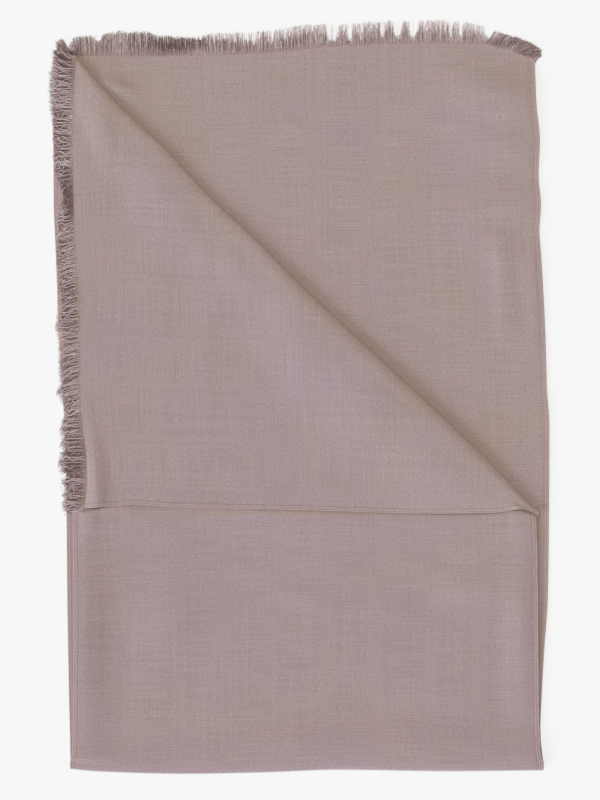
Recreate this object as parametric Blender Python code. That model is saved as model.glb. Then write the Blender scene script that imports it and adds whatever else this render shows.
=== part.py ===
"""Pashmina shawl laid flat: one cloth, folded once across its length, with one corner turned down.

The back stretch lies on the ground. At the bottom the cloth rolls over and comes back as the front
stretch. The front stretch's upper right corner is turned down over a slanting roll, so its frayed
end lies along the left side. Both ends of the cloth carry a fringe. Metres, +Z up, and the middle
of the base box is the origin. "Up" in the tables means away from the bottom fold.
"""
import math
from collections import namedtuple

import bmesh
import bpy
import numpy as np

MM = 0.001

# ---- driving dimensions ----
WALL = 1.2 * MM                # thickness of the cloth
SELVEDGE_WALL = 1.5 * MM       # thickness of the woven edge band
SELVEDGE = 6.5 * MM            # width of the woven edge band
GAP = 0.3 * MM                 # space between one layer and the next
SEAM = 0.5 * MM                # space between two stretches that meet end to end
FRINGE_GAP = 0.6 * MM          # space between a frayed edge and the strip of its fringe
ROLL_OVERLAP = 9.0 * MM        # how far a roll reaches back under its own layer
OVERLAP_SHARE = 0.75           # but at most this share of the turned corner's own depth there
STRIP = 4.0 * MM               # width of the strip that holds a fringe

FRONT_LEVEL = SELVEDGE_WALL + GAP                  # underside of the front stretch
CORNER_LEVEL = FRONT_LEVEL + SELVEDGE_WALL + GAP   # underside of the turned corner
CLOTH_WIDTH = 700.0 * MM
HALF_LENGTH = 1040.0 * MM      # bottom fold to frayed end
SLANT = math.sqrt(2.0)         # a step across the slanting roll, measured up the cloth
CREASE_FADE = 40.0 * MM        # the front's creases die out this far below the turned corner

TOP_STRANDS = 126
SIDE_STRANDS = 114
TOP_TIP_HEIGHT = 0.65 * MM     # middle of a top strand's tip above the ground
SIDE_TIP_HEIGHT = 2.5 * MM     # middle of a side strand's tip, which lies on the back stretch
STRAND_ARCH = 0.6 * MM
TUFT = 23.0 * MM               # usual distance from one tuft of strands to the next
TUFT_PULL = 1.6 * MM           # how far a strand's tip leans towards its tuft
TUFT_SWAY = 1.3                # how unevenly the tufts are spaced,
TUFT_SWAY_RATE = 0.37          # and how slowly that changes along the edge
UNEVEN = 0.10                  # share by which strands differ in length
LEAN_CURVE = 1.3               # a strand leans more and more towards its tip
SEED = 7

# ---- shape of the cloth, millimetres ----
Side = namedtuple("Side", "up left right")
BACK_SIDES = (
    Side(7, -334.5, 353.0),
    Side(64, -335.5, 349.0),
    Side(107, -336.0, 350.0),
    Side(252, -337.5, 359.0),
    Side(398, -340.5, 361.0),
    Side(507, -345.5, 362.5),
    Side(558, -347.0, 358.5),
    Side(660, -353.0, 355.5),
    Side(755, -354.5, 351.0),
    Side(790, -356.0, 348.5),
    Side(827, -357.5, 350.0),
    Side(871, -359.0, 347.0),
    Side(921, -360.5, 349.0),
    Side(980, -361.0, 343.5),
    Side(1040, -361.0, 340.5),
)
FRONT_SIDES = (
    Side(11, -333.5, 351.5),
    Side(34, -332.5, 349.0),
    Side(107, -331.0, 347.5),
    Side(252, -329.5, 346.5),
    Side(369, -329.5, 342.5),
    Side(390, -329.5, 345.0),
    Side(689, -328.0, 345.0),
    Side(1042, -327.5, 345.0),
)

Edge = namedtuple("Edge", "across up")
TOP_EDGE = (
    Edge(-361, 1042.5),
    Edge(-291, 1044.0),
    Edge(-145, 1044.0),
    Edge(-58, 1048.0),
    Edge(44, 1057.0),
    Edge(204, 1061.5),
    Edge(262, 1061.0),
    Edge(291, 1054.0),
    Edge(327, 1042.5),
    Edge(341, 1035.0),
)
BOTTOM_EDGE = (
    Edge(-335, 7.0),
    Edge(-297, 3.5),
    Edge(-174, 0.0),
    Edge(-58, 2.0),
    Edge(51, 6.0),
    Edge(210, 4.0),
    Edge(353, 5.0),
)
SLANT_EDGE = (
    Edge(-327.5, 1042.5),
    Edge(-271.0, 978.0),
    Edge(-197.0, 907.5),
    Edge(-135.0, 841.0),
    Edge(-60.0, 770.5),
    Edge(-6.0, 715.0),
    Edge(48.0, 664.0),
    Edge(135.0, 584.0),
    Edge(195.5, 528.0),
    Edge(270.0, 456.5),
    Edge(307.0, 418.5),
    Edge(332.5, 391.5),
    Edge(345.0, 383.0),
)
CORNER_FOOT = (
    Edge(-314.5, 387.0),
    Edge(-302.5, 386.0),
    Edge(-283.5, 389.0),
    Edge(-259.0, 391.5),
    Edge(-196.5, 388.0),
    Edge(0.0, 383.5),
    Edge(189.0, 378.5),
    Edge(284.0, 380.0),
    Edge(319.0, 385.0),
    Edge(332.0, 382.0),
    Edge(345.0, 374.0),
)
CORNER_SIDE = (
    Edge(-314.5, 385.0),
    Edge(-314.5, 427.0),
    Edge(-321.0, 543.5),
    Edge(-322.5, 689.0),
    Edge(-327.5, 747.0),
    Edge(-331.5, 834.5),
    Edge(-332.5, 936.5),
    Edge(-327.5, 1042.5),
)

# A roll turns up in a round nose, goes back in a flat arch, then sinks onto the layer below:
# inner radius of the nose, depth of the arch, and run of the sinking.
Roll = namedtuple("Roll", "across radius depth run")
BOTTOM_ROLL = (
    Roll(-335, 1.0, 9, 30),
    Roll(-200, 1.2, 12, 40),
    Roll(0, 1.8, 14, 60),
    Roll(160, 2.2, 15, 76),
    Roll(353, 1.4, 10, 50),
)
SLANT_ROLL = (
    Roll(-327, 1.4, 5, 40),
    Roll(-270, 3.3, 16, 70),
    Roll(-190, 2.6, 18, 90),
    Roll(0, 2.8, 19, 100),
    Roll(200, 2.9, 18, 90),
    Roll(290, 2.5, 9, 40),
    Roll(328, 1.9, 3, 20),
    Roll(345, 1.4, 2.2, 14),
)

# Soft ridges: place, heading in degrees from across, half length, half width and height.
Crease = namedtuple("Crease", "across up heading length width height")
BACK_CREASES = (
    Crease(288, 992, -12, 60, 26, 3.4),
    Crease(190, 976, 3, 90, 26, 1.4),
    Crease(300, 912, 2, 44, 19, 2.2),
    Crease(300, 832, 4, 42, 19, 2.0),
    Crease(290, 762, -32, 40, 18, 1.5),
    Crease(296, 712, 96, 46, 14, 1.8),
    Crease(340, 700, 92, 52, 12, 1.4),
)
FRONT_CREASES = (
    Crease(-312, 205, 91, 120, 18, 2.4),
    Crease(-190, 236, 88, 96, 26, 1.0),
    Crease(189, 196, 18, 52, 20, 1.2),
    Crease(29, 150, 28, 58, 22, 0.9),
    Crease(322, 236, 90, 84, 14, 1.0),
)
CORNER_CREASES = (
    Crease(-303, 440, 97, 40, 8, 2.6),
    Crease(-303, 388, 90, 22, 10, 2.4),
)

# How far strands reach beyond the cloth's edge, and how far their tips lean sideways.
Reach = namedtuple("Reach", "station reach lean")
TOP_REACH = (
    Reach(-361, 11, -4),
    Reach(-350, 25, -7),
    Reach(-338, 23, -8),
    Reach(-326, 26, -2),
    Reach(-313, 29, 0),
    Reach(-295, 20, 0),
    Reach(-286, 33, 1),
    Reach(-218, 33, 1),
    Reach(-200, 26, 0),
    Reach(-150, 27, 0),
    Reach(-113, 33, 0),
    Reach(0, 32, 1),
    Reach(58, 29, 0),
    Reach(116, 33, 0),
    Reach(233, 31, 1),
    Reach(262, 25, 4),
    Reach(300, 24, 12),
    Reach(327, 18, 19),
    Reach(341, 12, 17),
)
SIDE_REACH = (
    Reach(385, 27, -4),
    Reach(430, 31, -2),
    Reach(500, 30, 0),
    Reach(529, 24, -2),
    Reach(560, 28, -2),
    Reach(601, 26, 0),
    Reach(640, 33, 1),
    Reach(703, 26, -3),
    Reach(761, 21, -5),
    Reach(812, 25, -4),
    Reach(850, 18, -7),
    Reach(892, 26, -4),
    Reach(980, 30, -1),
    Reach(1009, 31, 1),
    Reach(1030, 28, 6),
    Reach(1043, 25, 11),
)

# The rings of a strand: share of its reach, of its root's width and height, of its drop and arch.
Ring = namedtuple("Ring", "reach width height drop arch")
ROOT = Ring(0.0, 1.0, 1.0, 0.0, 0.0)
RINGS = (
    Ring(0.25, 0.62, 0.75, 0.00, 1.0),
    Ring(0.60, 0.50, 0.60, 0.15, 1.0),
    Ring(1.00, 0.32, 0.50, 1.00, 0.0),
)

# ---- fineness of the faces ----
INNER_COLUMNS = 19
SIDE_CROWDING = 0.12           # a smaller share crowds the columns more towards both sides
ROW_CROWDING = 1.22            # a larger power crowds the rows more towards a roll
MOST_BAND = 0.25               # the foot's band is at most this share of its column
BACK_LOW_ROWS = 9              # rows of the back stretch that the front stretch hides
BACK_HIGH_ROWS = 24
BACK_HIGH_START = 0.50
FRONT_ROWS = 21
CORNER_ROWS = 20
ARC_DEGREES = (-90, -45, 0, 30, 60, 90)
SETTLING_STEPS = 4             # rounds to find where a column meets the slanting edge

Finish = namedtuple("Finish", "color roughness")
CLOTH = Finish((0.376, 0.291, 0.276, 1.0), 0.86)
FRAYED_END = Finish((0.330, 0.244, 0.236, 1.0), 0.92)


def through(rows, along, value):
    """A smooth function through one column of a table, held level past its ends."""
    x = np.array([getattr(row, along) for row in rows]) * MM
    y = np.array([getattr(row, value) for row in rows]) * MM
    chord = np.diff(y) / np.diff(x)
    before, after = chord[:-1], chord[1:]
    same_way = before * after > 0.0
    both = np.where(same_way, before + after, 1.0)
    turning = np.where(same_way, 2.0 * before * after / both, 0.0)
    slope = np.concatenate((chord[:1], turning, chord[-1:]))

    def at(place):
        place = np.clip(place, x[0], x[-1])
        i = np.clip(np.searchsorted(x, place) - 1, 0, len(x) - 2)
        step = x[i + 1] - x[i]
        t = (place - x[i]) / step
        ahead = t * t * (3.0 - 2.0 * t)
        leave = t * (1.0 - t) ** 2 * step * slope[i]
        arrive = t * t * (t - 1.0) * step * slope[i + 1]
        return y[i] * (1.0 - ahead) + y[i + 1] * ahead + leave + arrive

    return at


back_left = through(BACK_SIDES, "up", "left")
back_right = through(BACK_SIDES, "up", "right")
front_left = through(FRONT_SIDES, "up", "left")
front_right = through(FRONT_SIDES, "up", "right")
top_edge = through(TOP_EDGE, "across", "up")
bottom_edge = through(BOTTOM_EDGE, "across", "up")
slant_edge = through(SLANT_EDGE, "across", "up")
corner_foot = through(CORNER_FOOT, "across", "up")
corner_side = through(CORNER_SIDE, "up", "across")
bottom_radius = through(BOTTOM_ROLL, "across", "radius")
bottom_depth = through(BOTTOM_ROLL, "across", "depth")
bottom_run = through(BOTTOM_ROLL, "across", "run")
slant_radius = through(SLANT_ROLL, "across", "radius")
slant_depth = through(SLANT_ROLL, "across", "depth")
slant_run = through(SLANT_ROLL, "across", "run")


def ease(share):
    """One at the start of a run and zero at its end, level at both."""
    return 0.5 + 0.5 * math.cos(math.pi * min(max(share, 0.0), 1.0))


def lift(creases, across, up):
    """Height that the soft ridges add at one place."""
    total = 0.0
    for crease in creases:
        turn = math.radians(crease.heading)
        dx = across - crease.across * MM
        dy = up - crease.up * MM
        along = (dx * math.cos(turn) + dy * math.sin(turn)) / (crease.length * MM)
        beside = (dy * math.cos(turn) - dx * math.sin(turn)) / (crease.width * MM)
        total += crease.height * MM * math.exp(-0.5 * (along ** 2 + beside ** 2))
    return total


def lerp(a, b, t):
    """The value a share t of the way from a to b."""
    return a + (b - a) * t


def column_places():
    """Each column as (share of the width, selvedge widths further), close together at the sides."""
    inner = []
    for i in range(INNER_COLUMNS):
        turn = math.pi * lerp(SIDE_CROWDING, 1.0 - SIDE_CROWDING, i / (INNER_COLUMNS - 1))
        inner.append(-math.cos(turn))
    first, last = inner[0], inner[-1]
    inner = [(share - first) / (last - first) for share in inner]
    places = [(0.0, 0.0)]
    places += [(share, 1.0 - 2.0 * share) for share in inner]
    places.append((1.0, 0.0))
    return places


COLUMNS = column_places()


def place_across(column, left, right):
    """Where a column lies between a left and a right edge."""
    share, bands = column
    return lerp(left, right, share) + bands * SELVEDGE


def is_selvedge(index):
    """True for the two columns on each side that bound a woven edge band."""
    return index < 2 or index >= len(COLUMNS) - 2


def slant_overlap(across):
    """How far the slanting roll reaches back under the turned corner at one place."""
    return min(ROLL_OVERLAP, OVERLAP_SHARE * (slant_edge(across) - corner_foot(across)) / SLANT)


def roll_rows(radius, depth, wall, level, overlap):
    """Inner side of a roll, as (distance in from its outermost line, height)."""
    rows = [(overlap, level + wall)]
    for degrees in ARC_DEGREES:
        turn = math.radians(degrees)
        length = depth if degrees > 0 else radius
        rows.append((wall + length * (1.0 - math.cos(turn)),
                     level + wall + radius * (1.0 + math.sin(turn))))
    return rows


def sinking(distance, radius, wall, run, level, flat_level):
    """Height of the underside at a distance past a roll's top, as it sinks to the layer below."""
    top = level + wall + 2.0 * radius
    return flat_level + (top - flat_level) * ease(distance / run)


def back_grid():
    """Underside of the back stretch, row by row from the bottom fold to the top edge."""
    low = [BACK_HIGH_START * i / BACK_LOW_ROWS for i in range(BACK_LOW_ROWS)]
    high = [lerp(BACK_HIGH_START, 1.0, i / BACK_HIGH_ROWS) for i in range(BACK_HIGH_ROWS + 1)]
    grid = []
    for share in low + high:
        row = []
        for column in COLUMNS:
            station = place_across(column, -CLOTH_WIDTH / 2.0, CLOTH_WIDTH / 2.0)
            start = bottom_edge(station) + ROLL_OVERLAP + SEAM
            end = top_edge(station) - STRIP - FRINGE_GAP
            up = lerp(start, end, share)
            across = place_across(column, back_left(up), back_right(up))
            row.append((across, up, lift(BACK_CREASES, across, up)))
        grid.append(row)
    return grid


def front_grid():
    """Inner side of the bottom roll, then the underside of the front stretch up to the slant."""
    columns = []
    for index, column in enumerate(COLUMNS):
        wall = SELVEDGE_WALL if is_selvedge(index) else WALL
        station = place_across(column, front_left(0.0), front_right(0.0))
        fold = bottom_edge(station)
        radius = bottom_radius(station)
        roll = roll_rows(radius, bottom_depth(station), wall, 0.0, ROLL_OVERLAP)
        points = [(station, fold + inward, height) for inward, height in roll]
        start = points[-1][1]
        end = slant_edge(station)
        for _ in range(SETTLING_STEPS):
            top = place_across(column, front_left(end), front_right(end))
            end = slant_edge(top) - SLANT * (slant_overlap(top) + SEAM)
        for i in range(1, FRONT_ROWS + 1):
            share = (i / FRONT_ROWS) ** ROW_CROWDING
            up = lerp(start, end, share)
            across = place_across(column, front_left(up), front_right(up))
            height = sinking(up - start, radius, wall, bottom_run(station), 0.0, FRONT_LEVEL)
            showing = ease((up - corner_foot(across) + CREASE_FADE) / CREASE_FADE)
            height += showing * lift(FRONT_CREASES, across, up)
            points.append((across, up, height))
        columns.append(points)
    return [list(row) for row in zip(*columns)]


def corner_grid():
    """Inner side of the slanting roll, then the underside of the turned corner to its foot."""
    columns = []
    inset = STRIP + FRINGE_GAP
    left, right = front_left(HALF_LENGTH), front_right(HALF_LENGTH)
    for index, column in enumerate(COLUMNS):
        wall = SELVEDGE_WALL if index >= len(COLUMNS) - 2 else WALL
        station = place_across(column, left, right)
        side = (right - station) / (right - left)
        start_across = station + inset * side
        radius = slant_radius(start_across)
        depth = slant_depth(start_across)
        fold = slant_edge(start_across)
        roll = roll_rows(radius, depth, wall, FRONT_LEVEL, slant_overlap(start_across))
        points = [(start_across, fold - SLANT * inward, height) for inward, height in roll]
        start = points[-1][1]
        foot = corner_foot(start_across)
        band = min(SELVEDGE, MOST_BAND * (start - foot))
        shares = [(i / CORNER_ROWS) ** ROW_CROWDING for i in range(1, CORNER_ROWS + 1)]
        for up in [lerp(start, foot + band, share) for share in shares] + [foot]:
            across = start_across + (corner_side(up) - corner_side(start)) * side
            past = (slant_edge(across) - up) / SLANT - wall - depth
            height = sinking(past, radius, wall, slant_run(start_across), FRONT_LEVEL, CORNER_LEVEL)
            height += lift(CORNER_CREASES, across, up)
            points.append((across, up, height))
        columns.append(points)
    return [list(row) for row in zip(*columns)]


def material(name, finish):
    """A plain woven finish."""
    made = bpy.data.materials.new(name)
    made.use_nodes = True
    shader = made.node_tree.nodes["Principled BSDF"]
    shader.inputs["Base Color"].default_value = finish.color
    shader.inputs["Roughness"].default_value = finish.roughness
    shader.inputs["Metallic"].default_value = 0.0
    made.diffuse_color = finish.color
    return made


def add_object(name, mesh, finish, parent):
    """Put a finished mesh in the scene as one named piece of the shawl."""
    mesh.materials.append(material(name, finish))
    piece = bpy.data.objects.new(name, mesh)
    bpy.context.scene.collection.objects.link(piece)
    piece.parent = parent
    return piece


def cloth_stretch(name, grid, selvedge, parent):
    """A stretch of cloth: its inner side as a grid of faces, thickened outwards."""
    rows, columns = len(grid), len(grid[0])
    points = [point for row in grid for point in row]
    faces = []
    for r in range(rows - 1):
        for c in range(columns - 1):
            a = r * columns + c
            faces.append((a, a + 1, a + columns + 1, a + columns))
    mesh = bpy.data.meshes.new(name)
    mesh.from_pydata(points, [], faces)
    mesh.update()
    up_facing = sum(face.normal.z * face.area for face in mesh.polygons) > 0.0
    if not up_facing:
        mesh.flip_normals()
    mesh.shade_smooth()
    piece = add_object(name, mesh, CLOTH, parent)
    band = piece.vertex_groups.new(name="selvedge")
    thick = [r * columns + c for r in range(rows) for c in range(columns) if selvedge(r, c)]
    band.add(thick, 1.0, "REPLACE")
    wall = piece.modifiers.new("wall", "SOLIDIFY")
    wall.thickness = SELVEDGE_WALL
    wall.offset = 1.0
    wall.vertex_group = band.name
    wall.thickness_vertex_group = WALL / SELVEDGE_WALL
    return piece


def along_border(border, station, share_axis):
    """The point of a border line at one station, measured along one of its axes."""
    stations = [point[share_axis] for point in border]
    return np.array([np.interp(station, stations, [point[k] for point in border]) for k in range(3)])


def fringe(name, border, axis, outward, strands, table, tip_height, parent):
    """A strip along the cloth's frayed edge, with each strand drawn out of its outer side.

    The border runs along the axis numbered by axis, and the strands point outward.
    """
    draw = np.random.default_rng(SEED)
    reach_at = through(table, "station", "reach")
    lean_at = through(table, "station", "lean")
    outward = np.array(outward)
    side = np.zeros(3)
    side[axis] = 1.0
    first, last = border[0][axis], border[-1][axis]
    stations = [lerp(first, last, i / strands) for i in range(strands + 1)]
    inner = [along_border(border, station, axis) + outward * FRINGE_GAP for station in stations]
    rise = np.array((0.0, 0.0, WALL))

    strip = bmesh.new()
    rings = []
    for point in inner:
        outer = point + outward * STRIP
        corners = (point, point + rise, outer + rise, outer)
        rings.append([strip.verts.new(corner) for corner in corners])
    roots = []
    for near, far in zip(rings, rings[1:]):
        for k in range(4):
            face = strip.faces.new((near[k], near[(k + 1) % 4], far[(k + 1) % 4], far[k]))
            if k == 2:
                roots.append(face)
    strip.faces.new(rings[0])
    strip.faces.new(list(reversed(rings[-1])))
    bmesh.ops.recalc_face_normals(strip, faces=strip.faces)

    for root, length in zip(roots, draw.uniform(1.0 - UNEVEN, 1.0, strands)):
        middle = np.array(root.calc_center_median())
        station = middle[axis]
        phase = 2.0 * math.pi * station / TUFT
        pull = TUFT_PULL * math.sin(phase + TUFT_SWAY * math.sin(TUFT_SWAY_RATE * phase))
        tip, centre, before = root, middle, ROOT
        for ring in RINGS:
            tip = bmesh.ops.extrude_discrete_faces(strip, faces=[tip])["faces"][0]
            moved = middle + outward * reach_at(station) * length * ring.reach
            moved += side * (lean_at(station) + pull) * ring.reach ** LEAN_CURVE
            moved[2] = lerp(middle[2] + STRAND_ARCH * ring.arch, tip_height, ring.drop)
            narrower = np.ones(3)
            narrower[axis] = ring.width / before.width
            narrower[2] = ring.height / before.height
            for vert in tip.verts:
                vert.co = moved + (np.array(vert.co) - centre) * narrower
            centre, before = moved, ring
    bmesh.ops.recalc_face_normals(strip, faces=strip.faces)
    mesh = bpy.data.meshes.new(name)
    strip.to_mesh(mesh)
    strip.free()
    return add_object(name, mesh, FRAYED_END, parent)


def centre_on_origin(holder, pieces):
    """Move the whole shawl so that the middle of its base box is the origin."""
    bpy.context.view_layer.update()
    graph = bpy.context.evaluated_depsgraph_get()
    corners = []
    for piece in pieces:
        shown = piece.evaluated_get(graph)
        corners += [tuple(shown.matrix_world @ vert.co) for vert in shown.data.vertices]
    low = np.min(corners, axis=0)
    high = np.max(corners, axis=0)
    holder.location = (-(low[0] + high[0]) / 2.0, -(low[1] + high[1]) / 2.0, -low[2])
    bpy.context.view_layer.update()


def build():
    """Make the whole folded shawl."""
    for old in list(bpy.data.objects):
        bpy.data.objects.remove(old, do_unlink=True)
    shawl = bpy.data.objects.new("shawl", None)
    bpy.context.scene.collection.objects.link(shawl)

    back = back_grid()
    front = front_grid()
    corner = corner_grid()
    last_row = len(corner) - 1
    last_column = len(COLUMNS) - 1
    pieces = [
        cloth_stretch("back_stretch", back, lambda r, c: is_selvedge(c), shawl),
        cloth_stretch("front_stretch", front, lambda r, c: is_selvedge(c), shawl),
        cloth_stretch("turned_corner", corner,
                      lambda r, c: r >= last_row - 1 or c >= last_column - 1, shawl),
    ]
    first_flat_row = len(ARC_DEGREES)
    side_border = [row[0] for row in reversed(corner[first_flat_row:])]
    pieces.append(fringe("back_fringe", back[-1], 0, (0.0, 1.0, 0.0), TOP_STRANDS,
                         TOP_REACH, TOP_TIP_HEIGHT, shawl))
    pieces.append(fringe("corner_fringe", side_border, 1, (-1.0, 0.0, 0.0), SIDE_STRANDS,
                         SIDE_REACH, SIDE_TIP_HEIGHT, shawl))
    centre_on_origin(shawl, pieces)


build()
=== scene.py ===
"""The looks of a pashmina shawl that is folded once across its length and laid flat.

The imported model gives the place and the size. Each stretch of its cloth is made again here as a
thin woven shell, with the fold's soft roll, the selvedges and the creases, and each frayed end as
loose yarns. Metres, +Z up. In the tables "up" means away from the bottom fold, and "across" to the
right.
"""
import logging
import math
from dataclasses import dataclass, field
from enum import Enum
from typing import NamedTuple, Sequence

import bpy
import numpy as np
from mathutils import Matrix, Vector


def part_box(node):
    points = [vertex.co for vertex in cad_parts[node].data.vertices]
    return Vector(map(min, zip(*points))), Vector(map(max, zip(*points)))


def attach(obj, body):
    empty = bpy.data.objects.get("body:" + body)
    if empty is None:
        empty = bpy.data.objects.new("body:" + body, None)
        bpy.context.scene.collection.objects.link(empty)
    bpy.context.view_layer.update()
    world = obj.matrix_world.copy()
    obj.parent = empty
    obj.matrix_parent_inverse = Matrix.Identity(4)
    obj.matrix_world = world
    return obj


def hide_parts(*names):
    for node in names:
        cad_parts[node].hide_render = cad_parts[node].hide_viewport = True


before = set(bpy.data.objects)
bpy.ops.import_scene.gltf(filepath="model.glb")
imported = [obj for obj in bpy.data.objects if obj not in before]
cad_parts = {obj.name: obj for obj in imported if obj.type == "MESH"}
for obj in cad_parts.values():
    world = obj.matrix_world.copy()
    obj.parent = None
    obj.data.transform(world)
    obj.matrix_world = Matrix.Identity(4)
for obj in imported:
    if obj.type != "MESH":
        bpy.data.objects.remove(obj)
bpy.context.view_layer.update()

LOG = logging.getLogger("shawl")
MM = 0.001
WEAVE_MAP = "weave"
TONE = "tone"
WARMTH = "warmth"


# ---------------------------------------------------------------- the cut


@dataclass(frozen=True)
class Cut:
    """The length of cloth as it comes off the loom, and how its layers lie."""

    width: float = 0.700
    half_length: float = 1.040
    wall: float = 0.85 * MM
    front_level: float = 1.35 * MM
    corner_level: float = 2.70 * MM
    roll_overlap: float = 9.0 * MM
    overlap_share: float = 0.75
    seam: float = 0.5 * MM
    slant: float = math.sqrt(2.0)


CUT = Cut()


class Side(NamedTuple):
    """Left and right edge of a layer at one height above the bottom fold, in millimetres."""

    up: float
    left: float
    right: float


class Edge(NamedTuple):
    """A point of an edge that runs across the shawl, in millimetres."""

    across: float
    up: float


class Roll(NamedTuple):
    """Inner side of a soft fold at one place across, in millimetres.

    Radius of its round nose, depth of its flat arch, and the run over which the cloth sinks again.
    """

    across: float
    radius: float
    depth: float
    run: float


class Crease(NamedTuple):
    """A soft ridge, or a trough where its height is below zero.

    Place, heading in degrees from across, half length, half width and height in millimetres.
    """

    across: float
    up: float
    heading: float
    length: float
    width: float
    height: float


class Patch(NamedTuple):
    """A soft patch that adds to a value, or takes from it where its amount is below zero.

    Place, half length across, half width up in millimetres, and the amount.
    """

    across: float
    up: float
    length: float
    width: float
    amount: float


class Lip(NamedTuple):
    """How much higher the front layer lies just below the turned corner's foot, in millimetres.

    Place, height, and how far under the corner the rise starts, below zero where it starts past
    the foot.
    """

    across: float
    height: float
    start: float = 1.0


class SelvedgeRow(NamedTuple):
    """Thickness of the cloth at one distance in from its woven edge, in millimetres."""

    inset: float
    wall: float


BACK_SIDES = (
    Side(7, -335.5, 353.0),
    Side(64, -336.5, 348.0),
    Side(107, -337.5, 349.5),
    Side(180, -339.0, 353.5),
    Side(252, -340.2, 358.5),
    Side(330, -341.0, 360.0),
    Side(398, -341.5, 360.5),
    Side(507, -344.5, 361.0),
    Side(558, -347.0, 357.5),
    Side(600, -350.0, 356.3),
    Side(660, -353.5, 354.2),
    Side(705, -355.0, 351.8),
    Side(755, -357.0, 348.8),
    Side(790, -358.5, 346.5),
    Side(827, -360.0, 348.5),
    Side(871, -360.3, 345.3),
    Side(921, -360.5, 347.0),
    Side(980, -361.0, 341.5),
    Side(1040, -361.0, 339.8),
)
FRONT_SIDES = (
    Side(7, -335.8, 351.8),
    Side(18, -334.6, 350.5),
    Side(34, -332.0, 347.8),
    Side(107, -331.0, 345.8),
    Side(252, -330.2, 344.6),
    Side(330, -331.0, 343.6),
    Side(369, -331.8, 342.2),
    Side(390, -331.8, 345.0),
    Side(689, -328.0, 345.0),
    Side(1042, -327.5, 345.0),
)
TOP_EDGE = (
    Edge(-361, 1042.5),
    Edge(-291, 1044.0),
    Edge(-145, 1044.0),
    Edge(-58, 1048.0),
    Edge(44, 1057.0),
    Edge(204, 1061.5),
    Edge(262, 1061.0),
    Edge(291, 1054.0),
    Edge(327, 1042.5),
    Edge(341, 1035.0),
)
BOTTOM_EDGE = (
    Edge(-335, 7.0),
    Edge(-297, 3.5),
    Edge(-174, 0.0),
    Edge(-58, 2.0),
    Edge(51, 6.0),
    Edge(210, 4.0),
    Edge(353, 5.0),
)
SLANT_EDGE = (
    Edge(-327.5, 1042.5),
    Edge(-271.0, 978.0),
    Edge(-197.0, 907.5),
    Edge(-135.0, 841.0),
    Edge(-60.0, 770.5),
    Edge(-6.0, 715.0),
    Edge(48.0, 664.0),
    Edge(135.0, 584.0),
    Edge(195.5, 528.0),
    Edge(270.0, 456.5),
    Edge(307.0, 418.5),
    Edge(332.5, 391.5),
    Edge(345.0, 383.0),
)
CORNER_FOOT = (
    Edge(-314.5, 386.5),
    Edge(-305.0, 388.0),
    Edge(-283.5, 389.5),
    Edge(-259.0, 391.5),
    Edge(-196.5, 388.0),
    Edge(0.0, 383.5),
    Edge(189.0, 378.5),
    Edge(284.0, 380.0),
    Edge(319.0, 385.0),
    Edge(332.0, 382.0),
    Edge(345.0, 374.0),
)
CORNER_SIDE = (
    Edge(-316.5, 385.0),
    Edge(-313.0, 405.0),
    Edge(-311.5, 430.0),
    Edge(-312.5, 462.0),
    Edge(-317.5, 500.0),
    Edge(-321.0, 543.5),
    Edge(-322.5, 689.0),
    Edge(-327.5, 747.0),
    Edge(-331.5, 834.5),
    Edge(-332.5, 936.5),
    Edge(-327.5, 1042.5),
)
BOTTOM_ROLL = (
    Roll(-335, 1.1, 10, 36),
    Roll(-200, 1.5, 14, 48),
    Roll(0, 2.1, 16, 66),
    Roll(160, 2.5, 18, 78),
    Roll(353, 1.6, 12, 56),
)
SLANT_ROLL = (
    Roll(-327, 1.4, 5, 60),
    Roll(-288, 2.5, 14, 85),
    Roll(-262, 1.9, 13, 90),
    Roll(-199, 2.2, 15, 110),
    Roll(-135, 1.6, 14, 110),
    Roll(-58, 2.3, 17, 130),
    Roll(0, 3.0, 19, 150),
    Roll(200, 3.1, 18, 130),
    Roll(290, 2.8, 9, 50),
    Roll(328, 2.1, 3.2, 20),
    Roll(345, 1.6, 2.4, 14),
)
SELVEDGE = (
    SelvedgeRow(0.0, 0.70),
    SelvedgeRow(0.5, 1.15),
    SelvedgeRow(1.2, 1.25),
    SelvedgeRow(1.9, 0.85),
    SelvedgeRow(2.7, 0.85),
    SelvedgeRow(4.4, 0.90),
    SelvedgeRow(5.2, 1.05),
    SelvedgeRow(6.0, 0.62),
    SelvedgeRow(6.9, 0.68),
    SelvedgeRow(8.5, 0.85),
)
SELVEDGE_INSETS = np.array([row.inset for row in SELVEDGE]) * MM
SELVEDGE_WALLS = np.array([row.wall for row in SELVEDGE]) * MM

BACK_CREASES = (
    Crease(288, 992, -12, 60, 26, 3.4),
    Crease(190, 976, 3, 90, 26, 1.4),
    Crease(300, 912, 2, 44, 19, 2.2),
    Crease(300, 832, 4, 42, 19, 2.0),
    Crease(290, 762, -32, 40, 18, 1.5),
    Crease(296, 712, 96, 46, 14, 1.8),
    Crease(340, 700, 92, 52, 12, 1.4),
    Crease(-14, 943, -42, 20, 6, 0.5),
    Crease(-268, 999, -19, 20, 7, 3.4),
)
FRONT_CREASES = (
    Crease(-318, 205, 91, 130, 24, 5.2),
    Crease(-193, 236, 88, 96, 26, 1.0),
    Crease(-123, 305, 10, 40, 12, 0.8),
    Crease(-14, 262, -15, 40, 12, 0.8),
    Crease(131, 236, -10, 30, 12, 0.7),
    Crease(247, 272, -15, 45, 14, 0.9),
    Crease(189, 195, 20, 50, 14, 1.1),
    Crease(29, 150, 30, 60, 16, 0.8),
    Crease(322, 208, 90, 92, 16, 2.6),
    Crease(346, 208, 90, 80, 3.2, 0.5),
    Crease(-331, 230, 90, 150, 4.0, 0.5),
)
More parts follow.
